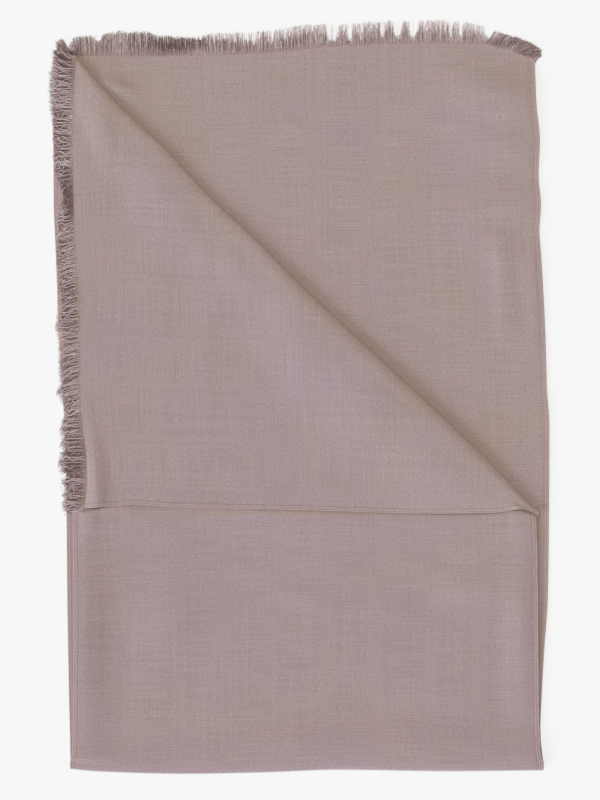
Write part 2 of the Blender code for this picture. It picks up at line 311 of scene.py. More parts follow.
FRONT_LIP = (
    Lip(-331, 0.80),
    Lip(-322, 1.40, 0.0),
    Lip(-314, 2.80, -2.0),
    Lip(-302, 3.00, -2.2),
    Lip(-290, 2.20, 0.0),
    Lip(-276, 1.90),
    Lip(-262, 1.80),
    Lip(-200, 0.65),
    Lip(-145, 0.55),
    Lip(-60, 1.20),
    Lip(0, 1.55),
    Lip(145, 1.25),
    Lip(270, 0.80),
    Lip(300, 1.00),
    Lip(316, 2.20, 0.0),
    Lip(330, 2.30, -0.6),
    Lip(345, 0.90),
)
CORNER_CREASES = (
    Crease(-298, 438, 96, 44, 9, 3.0),
    Crease(-300, 388, 90, 22, 10, 2.4),
    Crease(324, 383, -18, 13, 4.5, 2.6),
    Crease(-226, 730, 92, 90, 9, 0.35),
    Crease(-202, 690, 91, 110, 10, 0.4),
    Crease(-138, 640, 90, 90, 10, 0.35),
    Crease(110, 530, 40, 60, 26, 0.6),
)

BACK_WARMTH = (
    Patch(-255, 1005, 130, 55, 0.34),
    Patch(130, 1040, 130, 26, 0.14),
    Patch(130, 955, 90, 50, -0.18),
    Patch(250, 480, 60, 90, 0.16),
)
FRONT_WARMTH = (
    Patch(270, 310, 90, 55, 0.40),
    Patch(20, 88, 270, 30, 0.42),
    Patch(-312, 300, 26, 90, 0.26),
    # Painted shade: a warm tint along the shadowed line below the turned corner's foot.
    Patch(10, 380, 330, 4, 0.80),
)
CORNER_WARMTH = (
    Patch(-285, 945, 36, 90, 0.34),
    Patch(10, 560, 80, 60, -0.26),
    Patch(-285, 420, 26, 50, 0.30),
    # Painted shade: a warm tint along the corner's foot, where it lies in shade.
    Patch(10, 384, 330, 3, 0.60),
)


class Line:
    """A smooth line through one column of a table, held level past its ends."""

    def __init__(self, rows: Sequence[NamedTuple], along: str, value: str) -> None:
        """Read one column against another.

        Args:
            rows: The table, in millimetres.
            along: Name of the column that the line runs along.
            value: Name of the column that it goes through.
        """
        self.x = np.array([getattr(row, along) for row in rows]) * MM
        self.y = np.array([getattr(row, value) for row in rows]) * MM
        chord = np.diff(self.y) / np.diff(self.x)
        before, after = chord[:-1], chord[1:]
        same_way = before * after > 0.0
        both = np.where(same_way, before + after, 1.0)
        turning = np.where(same_way, 2.0 * before * after / both, 0.0)
        self.slope = np.concatenate((chord[:1], turning, chord[-1:]))

    def __call__(self, place: np.ndarray) -> np.ndarray:
        """Read the line.

        Args:
            place: Any number of places along it, in metres.

        Returns:
            The line's value at each, in metres.
        """
        place = np.clip(place, self.x[0], self.x[-1])
        i = np.clip(np.searchsorted(self.x, place) - 1, 0, len(self.x) - 2)
        step = self.x[i + 1] - self.x[i]
        t = (place - self.x[i]) / step
        ahead = t * t * (3.0 - 2.0 * t)
        leave = t * (1.0 - t) ** 2 * step * self.slope[i]
        arrive = t * t * (t - 1.0) * step * self.slope[i + 1]
        return self.y[i] * (1.0 - ahead) + self.y[i + 1] * ahead + leave + arrive


back_left = Line(BACK_SIDES, "up", "left")
back_right = Line(BACK_SIDES, "up", "right")
front_left = Line(FRONT_SIDES, "up", "left")
front_right = Line(FRONT_SIDES, "up", "right")
top_edge = Line(TOP_EDGE, "across", "up")
bottom_edge = Line(BOTTOM_EDGE, "across", "up")
slant_edge = Line(SLANT_EDGE, "across", "up")
corner_foot = Line(CORNER_FOOT, "across", "up")
corner_side = Line(CORNER_SIDE, "up", "across")
bottom_radius = Line(BOTTOM_ROLL, "across", "radius")
bottom_depth = Line(BOTTOM_ROLL, "across", "depth")
bottom_run = Line(BOTTOM_ROLL, "across", "run")
slant_radius = Line(SLANT_ROLL, "across", "radius")
slant_depth = Line(SLANT_ROLL, "across", "depth")
slant_run = Line(SLANT_ROLL, "across", "run")
lip_height = Line(FRONT_LIP, "across", "height")
lip_start = Line(FRONT_LIP, "across", "start")


def ease(share: np.ndarray) -> np.ndarray:
    """One at the start of a run and zero at its end, level at both."""
    return 0.5 + 0.5 * np.cos(np.pi * np.clip(share, 0.0, 1.0))


def lerp(a: np.ndarray, b: np.ndarray, share: np.ndarray) -> np.ndarray:
    """The value a share of the way from a to b."""
    return a + (b - a) * share


@dataclass(frozen=True)
class Placement:
    """How far the tables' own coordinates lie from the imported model's."""

    across: float
    up: float

    @classmethod
    def on_the_frame(cls) -> "Placement":
        """Set the widest point of the back and the lowest of the fold where the model has them.

        Returns:
            The placement that does so.
        """
        widest = max(row.right for row in BACK_SIDES) * MM
        lowest = min(row.up for row in BOTTOM_EDGE) * MM
        return cls(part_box("back_stretch")[1].x - widest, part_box("front_stretch")[0].y - lowest)

    def place(self, points: np.ndarray) -> np.ndarray:
        """Points of the tables as points of the model."""
        return points + np.array((self.across, self.up, 0.0))


def add_object(name: str, data: bpy.types.ID) -> bpy.types.Object:
    """Put an object at the origin of the scene.

    Args:
        name: Its name.
        data: Its mesh, light or camera.

    Returns:
        The object.
    """
    made = bpy.data.objects.new(name, data)
    bpy.context.scene.collection.objects.link(made)
    return made


# ---------------------------------------------------------------- relief


@dataclass(frozen=True)
class Ripples:
    """The slight unevenness of soft cloth that lies on a table."""

    lengths: tuple[float, ...] = (0.210, 0.120, 0.066, 0.034)
    heights: tuple[float, ...] = (0.34 * MM, 0.20 * MM, 0.085 * MM, 0.03 * MM)
    waves: int = 7
    spread: tuple[float, float] = (0.8, 1.25)
    seed: int = 3

    def height(self, across: np.ndarray, up: np.ndarray) -> np.ndarray:
        """Height of the unevenness, never far below zero.

        Args:
            across: Places across the cloth.
            up: Places up the cloth, as many.

        Returns:
            A height for each place.
        """
        draw = np.random.default_rng(self.seed)
        total = np.full(np.broadcast(across, up).shape, sum(self.heights))
        for length, height in zip(self.lengths, self.heights):
            for _ in range(self.waves):
                turn = draw.uniform(0.0, 2.0 * np.pi)
                phase = draw.uniform(0.0, 2.0 * np.pi)
                pitch = 2.0 * np.pi / (length * draw.uniform(*self.spread))
                run = across * math.cos(turn) + up * math.sin(turn)
                total += height / math.sqrt(self.waves) * np.sin(pitch * run + phase)
        return total


def ridges(creases: Sequence[Crease], across: np.ndarray, up: np.ndarray) -> np.ndarray:
    """Height that the creases of one layer add.

    Args:
        creases: The layer's table.
        across: Places across the cloth.
        up: Places up the cloth, as many.

    Returns:
        A height for each place.
    """
    total = np.zeros(np.broadcast(across, up).shape)
    for crease in creases:
        turn = math.radians(crease.heading)
        dx = across - crease.across * MM
        dy = up - crease.up * MM
        along = (dx * math.cos(turn) + dy * math.sin(turn)) / (crease.length * MM)
        beside = (dy * math.cos(turn) - dx * math.sin(turn)) / (crease.width * MM)
        total += crease.height * MM * np.exp(-0.5 * (along ** 2 + beside ** 2))
    return total


def patches(table: Sequence[Patch], across: np.ndarray, up: np.ndarray) -> np.ndarray:
    """What a table of patches adds.

    Args:
        table: The patches.
        across: Places across the cloth.
        up: Places up the cloth, as many.

    Returns:
        An amount for each place.
    """
    total = np.zeros(np.broadcast(across, up).shape)
    for patch in table:
        beside = (across - patch.across * MM) / (patch.length * MM)
        above = (up - patch.up * MM) / (patch.width * MM)
        total += patch.amount * np.exp(-0.5 * (beside ** 2 + above ** 2))
    return total


# ---------------------------------------------------------------- cloth


class Columns:
    """The columns of a layer's grid: even across the cloth, and crowded at its selvedges."""

    def __init__(self, inner: int, left_woven: bool = True, left_relief: float = 1.0) -> None:
        """Lay the columns out.

        Args:
            inner: Number of columns between the selvedges.
            left_woven: Whether the left edge is a selvedge too, and not a frayed end.
            left_relief: Share of its relief that a left selvedge keeps where it's worn flat.
        """
        insets, walls = SELVEDGE_INSETS, SELVEDGE_WALLS
        band = insets[-1]
        share = np.linspace(0.0, 1.0, inner + 2)[1:-1]
        left = insets if left_woven else insets[:1]
        left_walls = lerp(CUT.wall, walls, left_relief) if left_woven else np.full(1, CUT.wall)
        left_band = band if left_woven else 0.0
        self.share = np.concatenate((np.zeros(len(left)), share, np.ones(len(insets))))
        between = left_band * (1.0 - share) - band * share
        self.inset = np.concatenate((left, between, -insets[::-1]))
        self.wall = np.concatenate((left_walls, np.full(inner, CUT.wall), walls[::-1]))

    def across(self, left: np.ndarray, right: np.ndarray) -> np.ndarray:
        """Where the columns lie between a left and a right edge."""
        return lerp(left, right, self.share) + self.inset


def slant_overlap(across: np.ndarray) -> np.ndarray:
    """How far the slanting fold reaches back under the turned corner."""
    depth = (slant_edge(across) - corner_foot(across)) / CUT.slant
    return np.minimum(CUT.roll_overlap, CUT.overlap_share * depth)


def roll_rows(radius: np.ndarray, depth: np.ndarray, wall: np.ndarray, level: float,
              overlap: np.ndarray, steps: int) -> tuple[np.ndarray, np.ndarray]:
    """Inner side of a soft fold: it turns up in a round nose and goes back in a flat arch.

    Args:
        radius: Half the fold's inner height at each column.
        depth: Length of the arch at each column.
        wall: Thickness at each column.
        level: Height of the underside below the fold.
        overlap: How far the fold reaches back under its own layer at each column.
        steps: Number of steps round the half turn.

    Returns:
        Distance in from the fold's outermost line, and height, each by row and column.
    """
    centre = wall + radius
    turn = np.linspace(-0.5 * np.pi, 0.5 * np.pi, steps + 1)[:, None]
    inward = wall + np.where(turn > 0.0, depth, radius) * (1.0 - np.cos(turn))
    height = level + centre + radius * np.sin(turn)
    inward = np.vstack((overlap[None, :], inward))
    height = np.vstack(((level + wall)[None, :], height))
    return inward, height


def sinking(distance: np.ndarray, radius: np.ndarray, wall: np.ndarray, run: np.ndarray,
            level: float, flat_level: float) -> np.ndarray:
    """Height of the underside as the cloth sinks from the top of a roll to the layer below.

    Args:
        distance: Distance in from the end of the fold's arch.
        radius: Half the fold's inner height there.
        wall: Thickness of the cloth there.
        run: Distance over which it sinks.
        level: Height of the underside below the roll.
        flat_level: Height of the underside past the run.

    Returns:
        A height for each distance.
    """
    top = level + wall + 2.0 * radius
    return flat_level + (top - flat_level) * ease(distance / run)


@dataclass(frozen=True)
class WeaveFinish:
    """Soft fine twill in dusty taupe, matte with a faint silky sheen."""

    name: str = "taupe twill"
    color: tuple[float, float, float] = (0.386, 0.2885, 0.303)
    warm: tuple[float, float, float] = (0.390, 0.294, 0.264)
    roughness: float = 0.86
    sheen: float = 0.22
    sheen_roughness: float = 0.45
    pitch: float = 1.0 * MM
    relief: float = 0.10 * MM
    unevenness: float = 0.98
    slubs: tuple[float, float] = (0.2, 0.8)
    roughness_spread: float = 0.05
    specular: float = 0.25
    dye_patch: float = 0.10
    dye_share: float = 0.55


@dataclass(frozen=True)
class YarnFinish:
    """Loose warp yarns of the same taupe, with painted shade in the gaps and painted light where
    they lie high.
    """

    name: str = "taupe yarn"
    gap: tuple[float, float, float] = (0.185, 0.098, 0.086)
    color: tuple[float, float, float] = (0.490, 0.355, 0.345)
    pale: tuple[float, float, float] = (0.790, 0.650, 0.628)
    roughness: float = 0.88
    sheen: float = 0.15
    specular: float = 0.25
    color_tone: float = 0.5
    crimp: float = 1.6 * MM
    crimp_share: float = 1.20
    crimp_roughness: float = 0.6
    dye_patch: float = 0.05
    dye_shades: tuple[float, float] = (0.95, 1.05)


@dataclass
class Layer:
    """One stretch of the cloth, as a thin closed shell."""

    placement: Placement
    name: str = "layer"
    node: str = "layer"
    inner_columns: int = 150
    sharpest: float = math.radians(55.0)
    warmth: float = 0.5
    warm_patches: tuple[Patch, ...] = ()
    ripples: Ripples = field(default_factory=Ripples)

    def grid(self) -> tuple[np.ndarray, np.ndarray, np.ndarray]:
        """The side that the cloth is drawn on.

        Returns:
            Points, places in the weave and thicknesses, each by row and column.
        """
        raise NotImplementedError

    def build(self, material: bpy.types.Material) -> bpy.types.Object:
        """Make the layer and dress it.

        Args:
            material: The cloth's finish.

        Returns:
            The finished shell.
        """
        points, weave, walls = self.grid()
        rows, columns = points.shape[:2]
        corner = np.arange(rows * columns).reshape(rows, columns)
        near, far = corner[:-1], corner[1:]
        faces = np.stack((near[:, :-1], near[:, 1:], far[:, 1:], far[:, :-1]), axis=-1)
        mesh = bpy.data.meshes.new(self.name)
        mesh.from_pydata(self.placement.place(points).reshape(-1, 3).tolist(), [],
                         faces.reshape(-1, 4).tolist())
        mesh.update()
        corners = np.zeros(len(mesh.loops), dtype=np.int32)
        mesh.loops.foreach_get("vertex_index", corners)
        mesh.uv_layers.new(name=WEAVE_MAP).uv.foreach_set(
            "vector", weave.reshape(-1, 2)[corners].ravel())
        warmth = self.dye(points[:, :, 0], points[:, :, 1])
        mesh.attributes.new(WARMTH, "FLOAT", "POINT").data.foreach_set("value", warmth.ravel())
        if sum(face.normal.z * face.area for face in mesh.polygons) < 0.0:
            mesh.flip_normals()
        mesh.materials.append(material)
        piece = add_object(self.name, mesh)
        self.thicken(piece, walls.ravel())
        LOG.info("%s: %d faces", self.name, len(piece.data.polygons))
        return piece

    def dye(self, across: np.ndarray, up: np.ndarray) -> np.ndarray:
        """How warm the cloth's colour is at each place, from 0 to 1: the layer's own warmth and its
        patches, of which those along the turned corner's foot are a painted shade tint.
        """
        return self.warmth + patches(self.warm_patches, across, up)

    def thicken(self, piece: bpy.types.Object, walls: np.ndarray) -> None:
        """Give the sheet its thickness, away from the side that it is drawn on.

        Args:
            piece: The flat sheet.
            walls: Thickness at each of its points.
        """
        thickest = float(walls.max())
        group = piece.vertex_groups.new(name="thickness")
        for wall in np.unique(walls):
            group.add(np.flatnonzero(walls == wall).tolist(), float(wall / thickest), "REPLACE")
        wall = piece.modifiers.new("wall", "SOLIDIFY")
        wall.thickness = thickest
        wall.offset = 1.0
        wall.vertex_group = group.name
        bpy.ops.object.select_all(action="DESELECT")
        bpy.context.view_layer.objects.active = piece
        piece.select_set(True)
        bpy.ops.object.modifier_apply(modifier=wall.name)
        piece.vertex_groups.clear()
        piece.data.shade_smooth()
        piece.data.set_sharp_from_angle(angle=self.sharpest)
        piece.select_set(False)


@dataclass
class BackLayer(Layer):
    """The lower layer, full width, from under the bottom fold to the frayed top edge."""

    name: str = "back_layer"
    node: str = "back_stretch"
    warmth: float = 0.58
    warm_patches: tuple[Patch, ...] = BACK_WARMTH
    inner_columns: int = 170
    hidden_rows: int = 36
    shown_rows: int = 132
    shown_from: float = 0.36
    left_relief: float = 0.35

    def height(self, across: np.ndarray, up: np.ndarray) -> np.ndarray:
        """Height of the underside."""
        return self.ripples.height(across, up) + ridges(BACK_CREASES, across, up)

    def grid(self) -> tuple[np.ndarray, np.ndarray, np.ndarray]:
        """The underside, row by row from the bottom fold to the top edge.

        Returns:
            Points, places in the weave and thicknesses, each by row and column.
        """
        columns = Columns(self.inner_columns, left_relief=self.left_relief)
        station = columns.across(-CUT.width / 2.0, CUT.width / 2.0)
        start = bottom_edge(station) + CUT.roll_overlap + CUT.seam
        top = top_edge(station)
        end = top_edge(columns.across(back_left(top), back_right(top)))
        hidden = np.linspace(0.0, self.shown_from, self.hidden_rows, endpoint=False)
        shown = np.linspace(self.shown_from, 1.0, self.shown_rows)
        up = lerp(start, end, np.concatenate((hidden, shown))[:, None])
        across = columns.across(back_left(up), back_right(up))
        points = np.stack((across, up, self.height(across, up)), axis=-1)
        weave = np.stack((np.broadcast_to(station + CUT.width / 2.0, up.shape), up), axis=-1)
        return points, weave, np.broadcast_to(columns.wall, up.shape)

    def rim(self, stations: np.ndarray) -> np.ndarray:
        """Points of the frayed edge's underside at the given places across."""
        up = top_edge(stations)
        return np.stack((stations, up, self.height(stations, up)), axis=-1)


@dataclass
class FrontLayer(Layer):
    """The upper layer with the roll of the bottom fold, up to the slanting fold."""

    name: str = "front_layer"
    node: str = "front_stretch"
    warmth: float = 0.12
    warm_patches: tuple[Patch, ...] = FRONT_WARMTH
    inner_columns: int = 170
    arc_steps: int = 12
    shown_rows: int = 136
    hidden_rows: int = 26
    crowding: float = 1.3
    past_foot: float = 12.0 * MM
    latest_knee: float = 0.94
    crease_fade: float = 40.0 * MM
    ripple_calm: float = 40.0 * MM
    lip_rise: float = 5.4 * MM
    lip_run: float = 60.0 * MM
    settling: int = 5
    left_relief: float = 0.4

    def lip(self, across: np.ndarray, up: np.ndarray) -> np.ndarray:
        """Rise of the cloth just below the turned corner's foot, and its gentle fall below that.

        Args:
            across: Places across the cloth.
            up: Places up the cloth, as many.

        Returns:
            A height for each place.
        """
        before = corner_foot(across) - up + lip_start(across)
        rise = 1.0 - ease(before / self.lip_rise)
        return lip_height(across) * rise * ease((before - self.lip_rise) / self.lip_run)

    def grid(self) -> tuple[np.ndarray, np.ndarray, np.ndarray]:
        """The inner side of the bottom roll, then the underside up to the slant.

        Returns:
            Points, places in the weave and thicknesses, each by row and column.
        """
        columns = Columns(self.inner_columns, left_relief=self.left_relief)
        station = columns.across(front_left(0.0), front_right(0.0))
        fold = bottom_edge(station)
        radius = bottom_radius(station)
        depth = bottom_depth(station)
        overlap = np.full_like(station, CUT.roll_overlap)
        inward, roll_height = roll_rows(radius, depth, columns.wall, 0.0, overlap, self.arc_steps)
        end = slant_edge(station)
        for _ in range(self.settling):
            top = columns.across(front_left(end), front_right(end))
            end = slant_edge(top) - CUT.slant * (slant_overlap(top) + CUT.seam)
        start = fold + inward[-1]
        latest = lerp(start, end, self.latest_knee)
        knee = np.minimum(corner_foot(station) + self.past_foot, latest)
        shares = 1.0 - np.linspace(1.0, 0.0, self.shown_rows + 1)[1:, None] ** self.crowding
        shown = lerp(start, knee, shares)
        hidden = lerp(knee, end, np.linspace(0.0, 1.0, self.hidden_rows + 1)[1:, None])
        flat_up = np.vstack((shown, hidden))
        flat_across = columns.across(front_left(flat_up), front_right(flat_up))
        height = sinking(flat_up - start, radius, columns.wall, bottom_run(station), 0.0,
                         CUT.front_level)
        showing = ease((flat_up - corner_foot(flat_across) + self.crease_fade) / self.crease_fade)
        height = height + showing * ridges(FRONT_CREASES, flat_across, flat_up)
        calm = ease((flat_up - start) / self.ripple_calm)
        height += self.ripples.height(flat_across, flat_up) * (1.0 - calm)
        height += self.lip(flat_across, flat_up)
        up = np.vstack((fold + inward, flat_up))
        across = np.vstack((np.broadcast_to(station, inward.shape), flat_across))
        points = np.stack((across, up, np.vstack((roll_height, height))), axis=-1)
        weave = np.stack((np.broadcast_to(station - station[0], up.shape), -up), axis=-1)
        return points, weave, np.broadcast_to(columns.wall, up.shape)


@dataclass
class TurnedCornerLayer(Layer):
    """The turned corner with the roll of the slanting fold, down to its selvedge foot."""

    name: str = "turned_corner_layer"
    node: str = "turned_corner"
    warmth: float = 0.36
    warm_patches: tuple[Patch, ...] = CORNER_WARMTH
    inner_columns: int = 160
    arc_steps: int = 12
    rows: int = 150
    crowding: float = 1.22
    most_band: float = 0.4
    ripple_calm: float = 40.0 * MM
    crease_calm: float = 12.0 * MM
    # worn: run over which the fold's painted shade tint fades.
    worn: float = 46.0 * MM
    fold_shade_warmth: float = 0.42

    def dye(self, across: np.ndarray, up: np.ndarray) -> np.ndarray:
        """How warm the cloth's colour is: warmer along the slanting fold, a painted shade tint where
        the cloth turns over the fold.
        """
        past = (slant_edge(across) - up) / CUT.slant
        return super().dye(across, up) + self.fold_shade_warmth * ease(past / self.worn)

    def height(self, across: np.ndarray, up: np.ndarray, wall: np.ndarray,
               station: np.ndarray) -> np.ndarray:
        """Height of the underside past the slanting roll.

        Args:
            across: Places across the cloth.
            up: Places up the cloth, as many.
            wall: Thickness of the cloth there.
            station: Where each place's column crosses the slanting fold.

        Returns:
            A height for each place.
        """
        past = (slant_edge(across) - up) / CUT.slant - wall - slant_depth(station)
        height = sinking(past, slant_radius(station), wall, slant_run(station),
                         CUT.front_level, CUT.corner_level)
        uneven = self.ripples.height(across, up) * (1.0 - ease(past / self.ripple_calm))
        creased = ridges(CORNER_CREASES, across, up) * (1.0 - ease(past / self.crease_calm))
        return height + uneven + creased

    def grid(self) -> tuple[np.ndarray, np.ndarray, np.ndarray]:
        """The inner side of the slanting roll, then the underside to the corner's foot.

        Returns:
            Points, places in the weave and thicknesses, each by row and column.
        """
        columns = Columns(self.inner_columns, left_woven=False)
        left, right = front_left(CUT.half_length), front_right(CUT.half_length)
        station = columns.across(left, right)
        side = (right - station) / (right - left)
        fold = slant_edge(station)
        inward, roll_height = roll_rows(slant_radius(station), slant_depth(station), columns.wall,
                                        CUT.front_level, slant_overlap(station), self.arc_steps)
        start = fold - CUT.slant * inward[-1]
        foot = corner_foot(station)
        insets, walls = SELVEDGE_INSETS[::-1], SELVEDGE_WALLS[::-1]
        shrink = np.minimum(1.0, self.most_band * (start - foot) / insets[0])
        band = foot + insets[:, None] * shrink
        shares = (np.arange(1, self.rows) / self.rows) ** self.crowding
        up = np.vstack((lerp(start, band[0], shares[:, None]), band))
        across = station + (corner_side(up) - corner_side(start)) * side
        row_wall = np.concatenate((np.full(self.rows - 1, CUT.wall), walls))[:, None]
        wall = np.where(row_wall == CUT.wall, columns.wall, row_wall)
        height = self.height(across, up, columns.wall, station)
        roll_up = fold - CUT.slant * inward
        roll_across = np.broadcast_to(station, inward.shape)
        all_up = np.vstack((roll_up, up))
        points = np.stack((np.vstack((roll_across, across)), all_up,
                           np.vstack((roll_height, height))), axis=-1)
        along = np.broadcast_to(station - left, all_up.shape)
        weave = np.stack((CUT.width - (all_up - foot), along), axis=-1)
        all_walls = np.vstack((np.broadcast_to(columns.wall, inward.shape), wall))
        return points, weave, all_walls

    def rim(self, stations: np.ndarray) -> np.ndarray:
        """Points of the frayed edge's underside.

        Args:
            stations: Places up the edge.

        Returns:
            A point for each.
        """
        across = corner_side(stations)
        left = np.full_like(stations, float(front_left(CUT.half_length)))
        height = self.height(across, stations, CUT.wall, left)
        return np.stack((across, stations, height), axis=-1)


# ---------------------------------------------------------------- fringe


class Reach(NamedTuple):
    """How the yarns lie at one place of a frayed edge, in millimetres.

    Their reach beyond the edge, their lean to the side, how much of their way they droop back,
    the share of them that is broken off short, and the least reach of those.
    """

    station: float
    reach: float
    lean: float
    droop: float = 0.0
    broken: float = 0.05
    base: float = 8.0


class Break(NamedTuple):
    """A stretch of a frayed edge where the long yarns have come away, in millimetres."""

    start: float
    end: float
    reach: float


class Yarn(NamedTuple):
    """One kind of yarn in a fringe, with its sizes in millimetres.

    Spacing and radius; how deep in the cloth its root lies and how high on it; how far its tip
    strays and how much it arches; its tone, from 0 in a gap to 1 in full light, and how much that
    varies; how much of the gaps in the fringe it fills; and the number of rings that it is made of.
    """

    pitch: float
    radius: float
    inset: float
    rise: float
    sway: float
    bulge: float
    tone: float
    uneven: float
    filling: float
    rings: int


# In each fringe the first kind is a dark under-layer that fills the gaps: painted shade.
TOP_YARNS = (
    Yarn(0.66, 0.45, 1.4, -0.50, 0.60, 0.10, 0.34, 0.18, 1.0, 6),
    Yarn(0.25, 0.21, 2.4, -0.10, 1.10, 0.35, 0.44, 0.30, 0.0, 8),
    Yarn(1.50, 0.26, 3.4, -0.08, 1.90, 0.70, 1.00, 0.16, 0.0, 11),
)
SIDE_YARNS = (
    Yarn(0.62, 0.42, 1.1, -0.22, 0.80, 0.05, 0.00, 0.10, 1.0, 6),
    Yarn(0.27, 0.21, 1.3, -0.08, 3.00, 0.40, 0.06, 0.36, 0.0, 8),
    Yarn(1.50, 0.43, 3.2, -0.26, 4.60, 1.00, 0.94, 0.14, 0.0, 19),
)
TOP_REACH = (
    Reach(-357, 10, -2),
    Reach(-352, 11, -4),
    Reach(-346, 25, -9),
    Reach(-337, 28, -10),
    Reach(-333, 14, -8),
    Reach(-329, 26, -5),
    Reach(-320, 31, -3),
    Reach(-305, 32, 0),
    Reach(-298, 24, 0),
    Reach(-294, 24, 0),
    Reach(-289, 35, 1),
    Reach(-270, 37, 1),
    Reach(-222, 37, 1),
    Reach(-204, 31, 0, 0.0, 0.05, 20),
    Reach(-150, 29, 1, 0.0, 0.10, 22),
    Reach(-138, 34, 0, 0.0, 0.20, 22),
    Reach(-112, 34, 0, 0.0, 0.30, 21),
    Reach(-84, 33, 0, 0.0, 0.34, 19),
    Reach(-50, 34, 0, 0.0, 0.28, 13),
    Reach(0, 36, 1, 0.0, 0.28, 12),
    Reach(58, 34, 0, 0.0, 0.34),
    Reach(116, 36, 0, 0.0, 0.28),
    Reach(190, 36, 1, 0.0, 0.34),
    Reach(233, 34, 1, 0.0, 0.36),
    Reach(262, 28, 4, 0.0, 0.40),
    Reach(272, 23, 9, 0.2, 0.10),
    Reach(280, 21, 13, 0.5),
    Reach(291, 20, 18, 0.8),
    Reach(300, 18, 21, 1.0),
    Reach(315, 14.5, 23, 1.2),
    Reach(327, 12, 21, 1.3),
    Reach(335, 11, 13, 1.0),
    Reach(341, 10, 8, 0.6),
)
TOP_BREAKS = (
    Break(-82, -75, 20),
    Break(-71, -65, 20),
    Break(-44, -40, 20),
    Break(-26, -22, 17),
    Break(36, 55, 11),
    Break(66, 74, 12),
    Break(84, 90, 12),
    Break(115, 121, 13),
    Break(133, 146, 13),
    Break(157, 169, 12),
    Break(214, 219, 14),
    Break(229, 234, 14),
    Break(263, 272, 12),
)
# Painted shade and light in the top fringe: patches below zero darken the yarns' tone where they lie
# in shadow, and those above zero paint light on them.
TOP_PAINTED_LIGHT_AND_SHADE = (
    Patch(-350, 1046, 14, 10, -0.44),
    Patch(-333, 1050, 6, 12, -0.40),
    Patch(-304, 1058, 22, 12, 0.04),
    Patch(-250, 1062, 52, 14, -0.15),
    Patch(-190, 1060, 22, 8, -0.85),
    Patch(-160, 1066, 26, 5, -0.45),
    Patch(-170, 1049, 40, 4, 0.16),
    Patch(-90, 1058, 40, 6, -0.14),
    Patch(100, 1088, 190, 12, 0.16),
    Patch(305, 1063, 22, 5, -0.44),
    Patch(330, 1049, 12, 6, -0.44),
)
SIDE_REACH = (
    Reach(383, 26, -6, 0.5),
    Reach(390, 34, -5, 0.8),
    Reach(397, 36, -4, 1.0),
    Reach(402, 33, -3, 0.5),
    Reach(407, 39, -3, 0.8),
    Reach(413, 30, -2, 0.3),
    Reach(420, 37, -2, 0.8),
    Reach(428, 39, -2, 1.0),
    Reach(433, 29, -1, 0.3),
    Reach(440, 40, -1, 0.8),
    Reach(452, 43, -1, 1.0),
    Reach(463, 41, -1, 1.0),
    Reach(471, 34, -1, 0.4),
    Reach(476, 37, -1, 0.8),
    Reach(485, 37, -1, 1.0),
    Reach(492, 29, -2, 0.3),
    Reach(498, 36, -2, 0.8),
    Reach(513, 32, -4, 0.9),
    Reach(525, 26, -10, 0.2),
    Reach(552, 28, -12, 0.2),
    Reach(560, 33, -12, 0.6),
    Reach(566, 36, -12, 0.6),
    Reach(571, 31, -12, 0.2),
    Reach(588, 32, -11, 0.3),
    Reach(608, 33, -10, 0.3),
    Reach(646, 35, -6, 0.2),
    Reach(654, 38, -6, 0.5),
    Reach(677, 35, -9, 0.3),
    Reach(707, 32, -12, 0.4),
    Reach(762, 29, -9, 0.4),
    Reach(812, 26, -7, 0.3),
    Reach(850, 17, -9, 0.3),
    Reach(880, 28, -4, 0.2),
    Reach(915, 31, 0),
    Reach(948, 32, 0),
    Reach(965, 36, 1),
    Reach(980, 38, 1),
    Reach(1000, 40, 4),
    Reach(1020, 38, 8, 0.3),
    Reach(1036, 33, 14, 0.5),
    Reach(1043, 26, 20, 0.5),
)
SIDE_BREAKS = (
    Break(952, 957, 16),
    Break(905, 908, 17),
    Break(575, 579, 16),
)
# Painted shade and light in the side fringe: patches below zero darken the yarns' tone where they
# lie in shadow, and those above zero paint light on them.
SIDE_PAINTED_LIGHT_AND_SHADE = (
    Patch(-346, 1034, 12, 12, -0.36),
    Patch(-336, 1014, 8, 14, -0.22),
    Patch(-350, 956, 6, 5, -0.30),
    Patch(-344, 924, 8, 8, -0.22),
    Patch(-341, 850, 7, 22, -0.90),
    Patch(-335, 818, 5, 18, -0.60),
    Patch(-340, 450, 12, 60, -0.10),
    Patch(-346, 760, 8, 10, -0.18),
    Patch(-340, 700, 9, 14, -0.28),
    Patch(-338, 660, 9, 10, -0.30),
    Patch(-340, 600, 8, 18, -0.12),
    Patch(-336, 520, 8, 14, -0.16),
    Patch(-334, 470, 8, 16, -0.30),
    Patch(-334, 440, 8, 9, -0.34),
    Patch(-320, 466, 7, 28, -0.42),
    Patch(-322, 402, 8, 12, -0.24),
    Patch(-340, 402, 8, 6, 0.18),
)


class End(Enum):
    """The two frayed ends, by the way that their yarns point."""

    TOP = (0, (0.0, 1.0, 0.0))
    SIDE = (1, (-1.0, 0.0, 0.0))

    @property
    def axis(self) -> int:
        """Number of the axis that the edge runs along."""
        return self.value[0]

    @property
    def outward(self) -> np.ndarray:
        """The way that the yarns point."""
        return np.array(self.value[1])


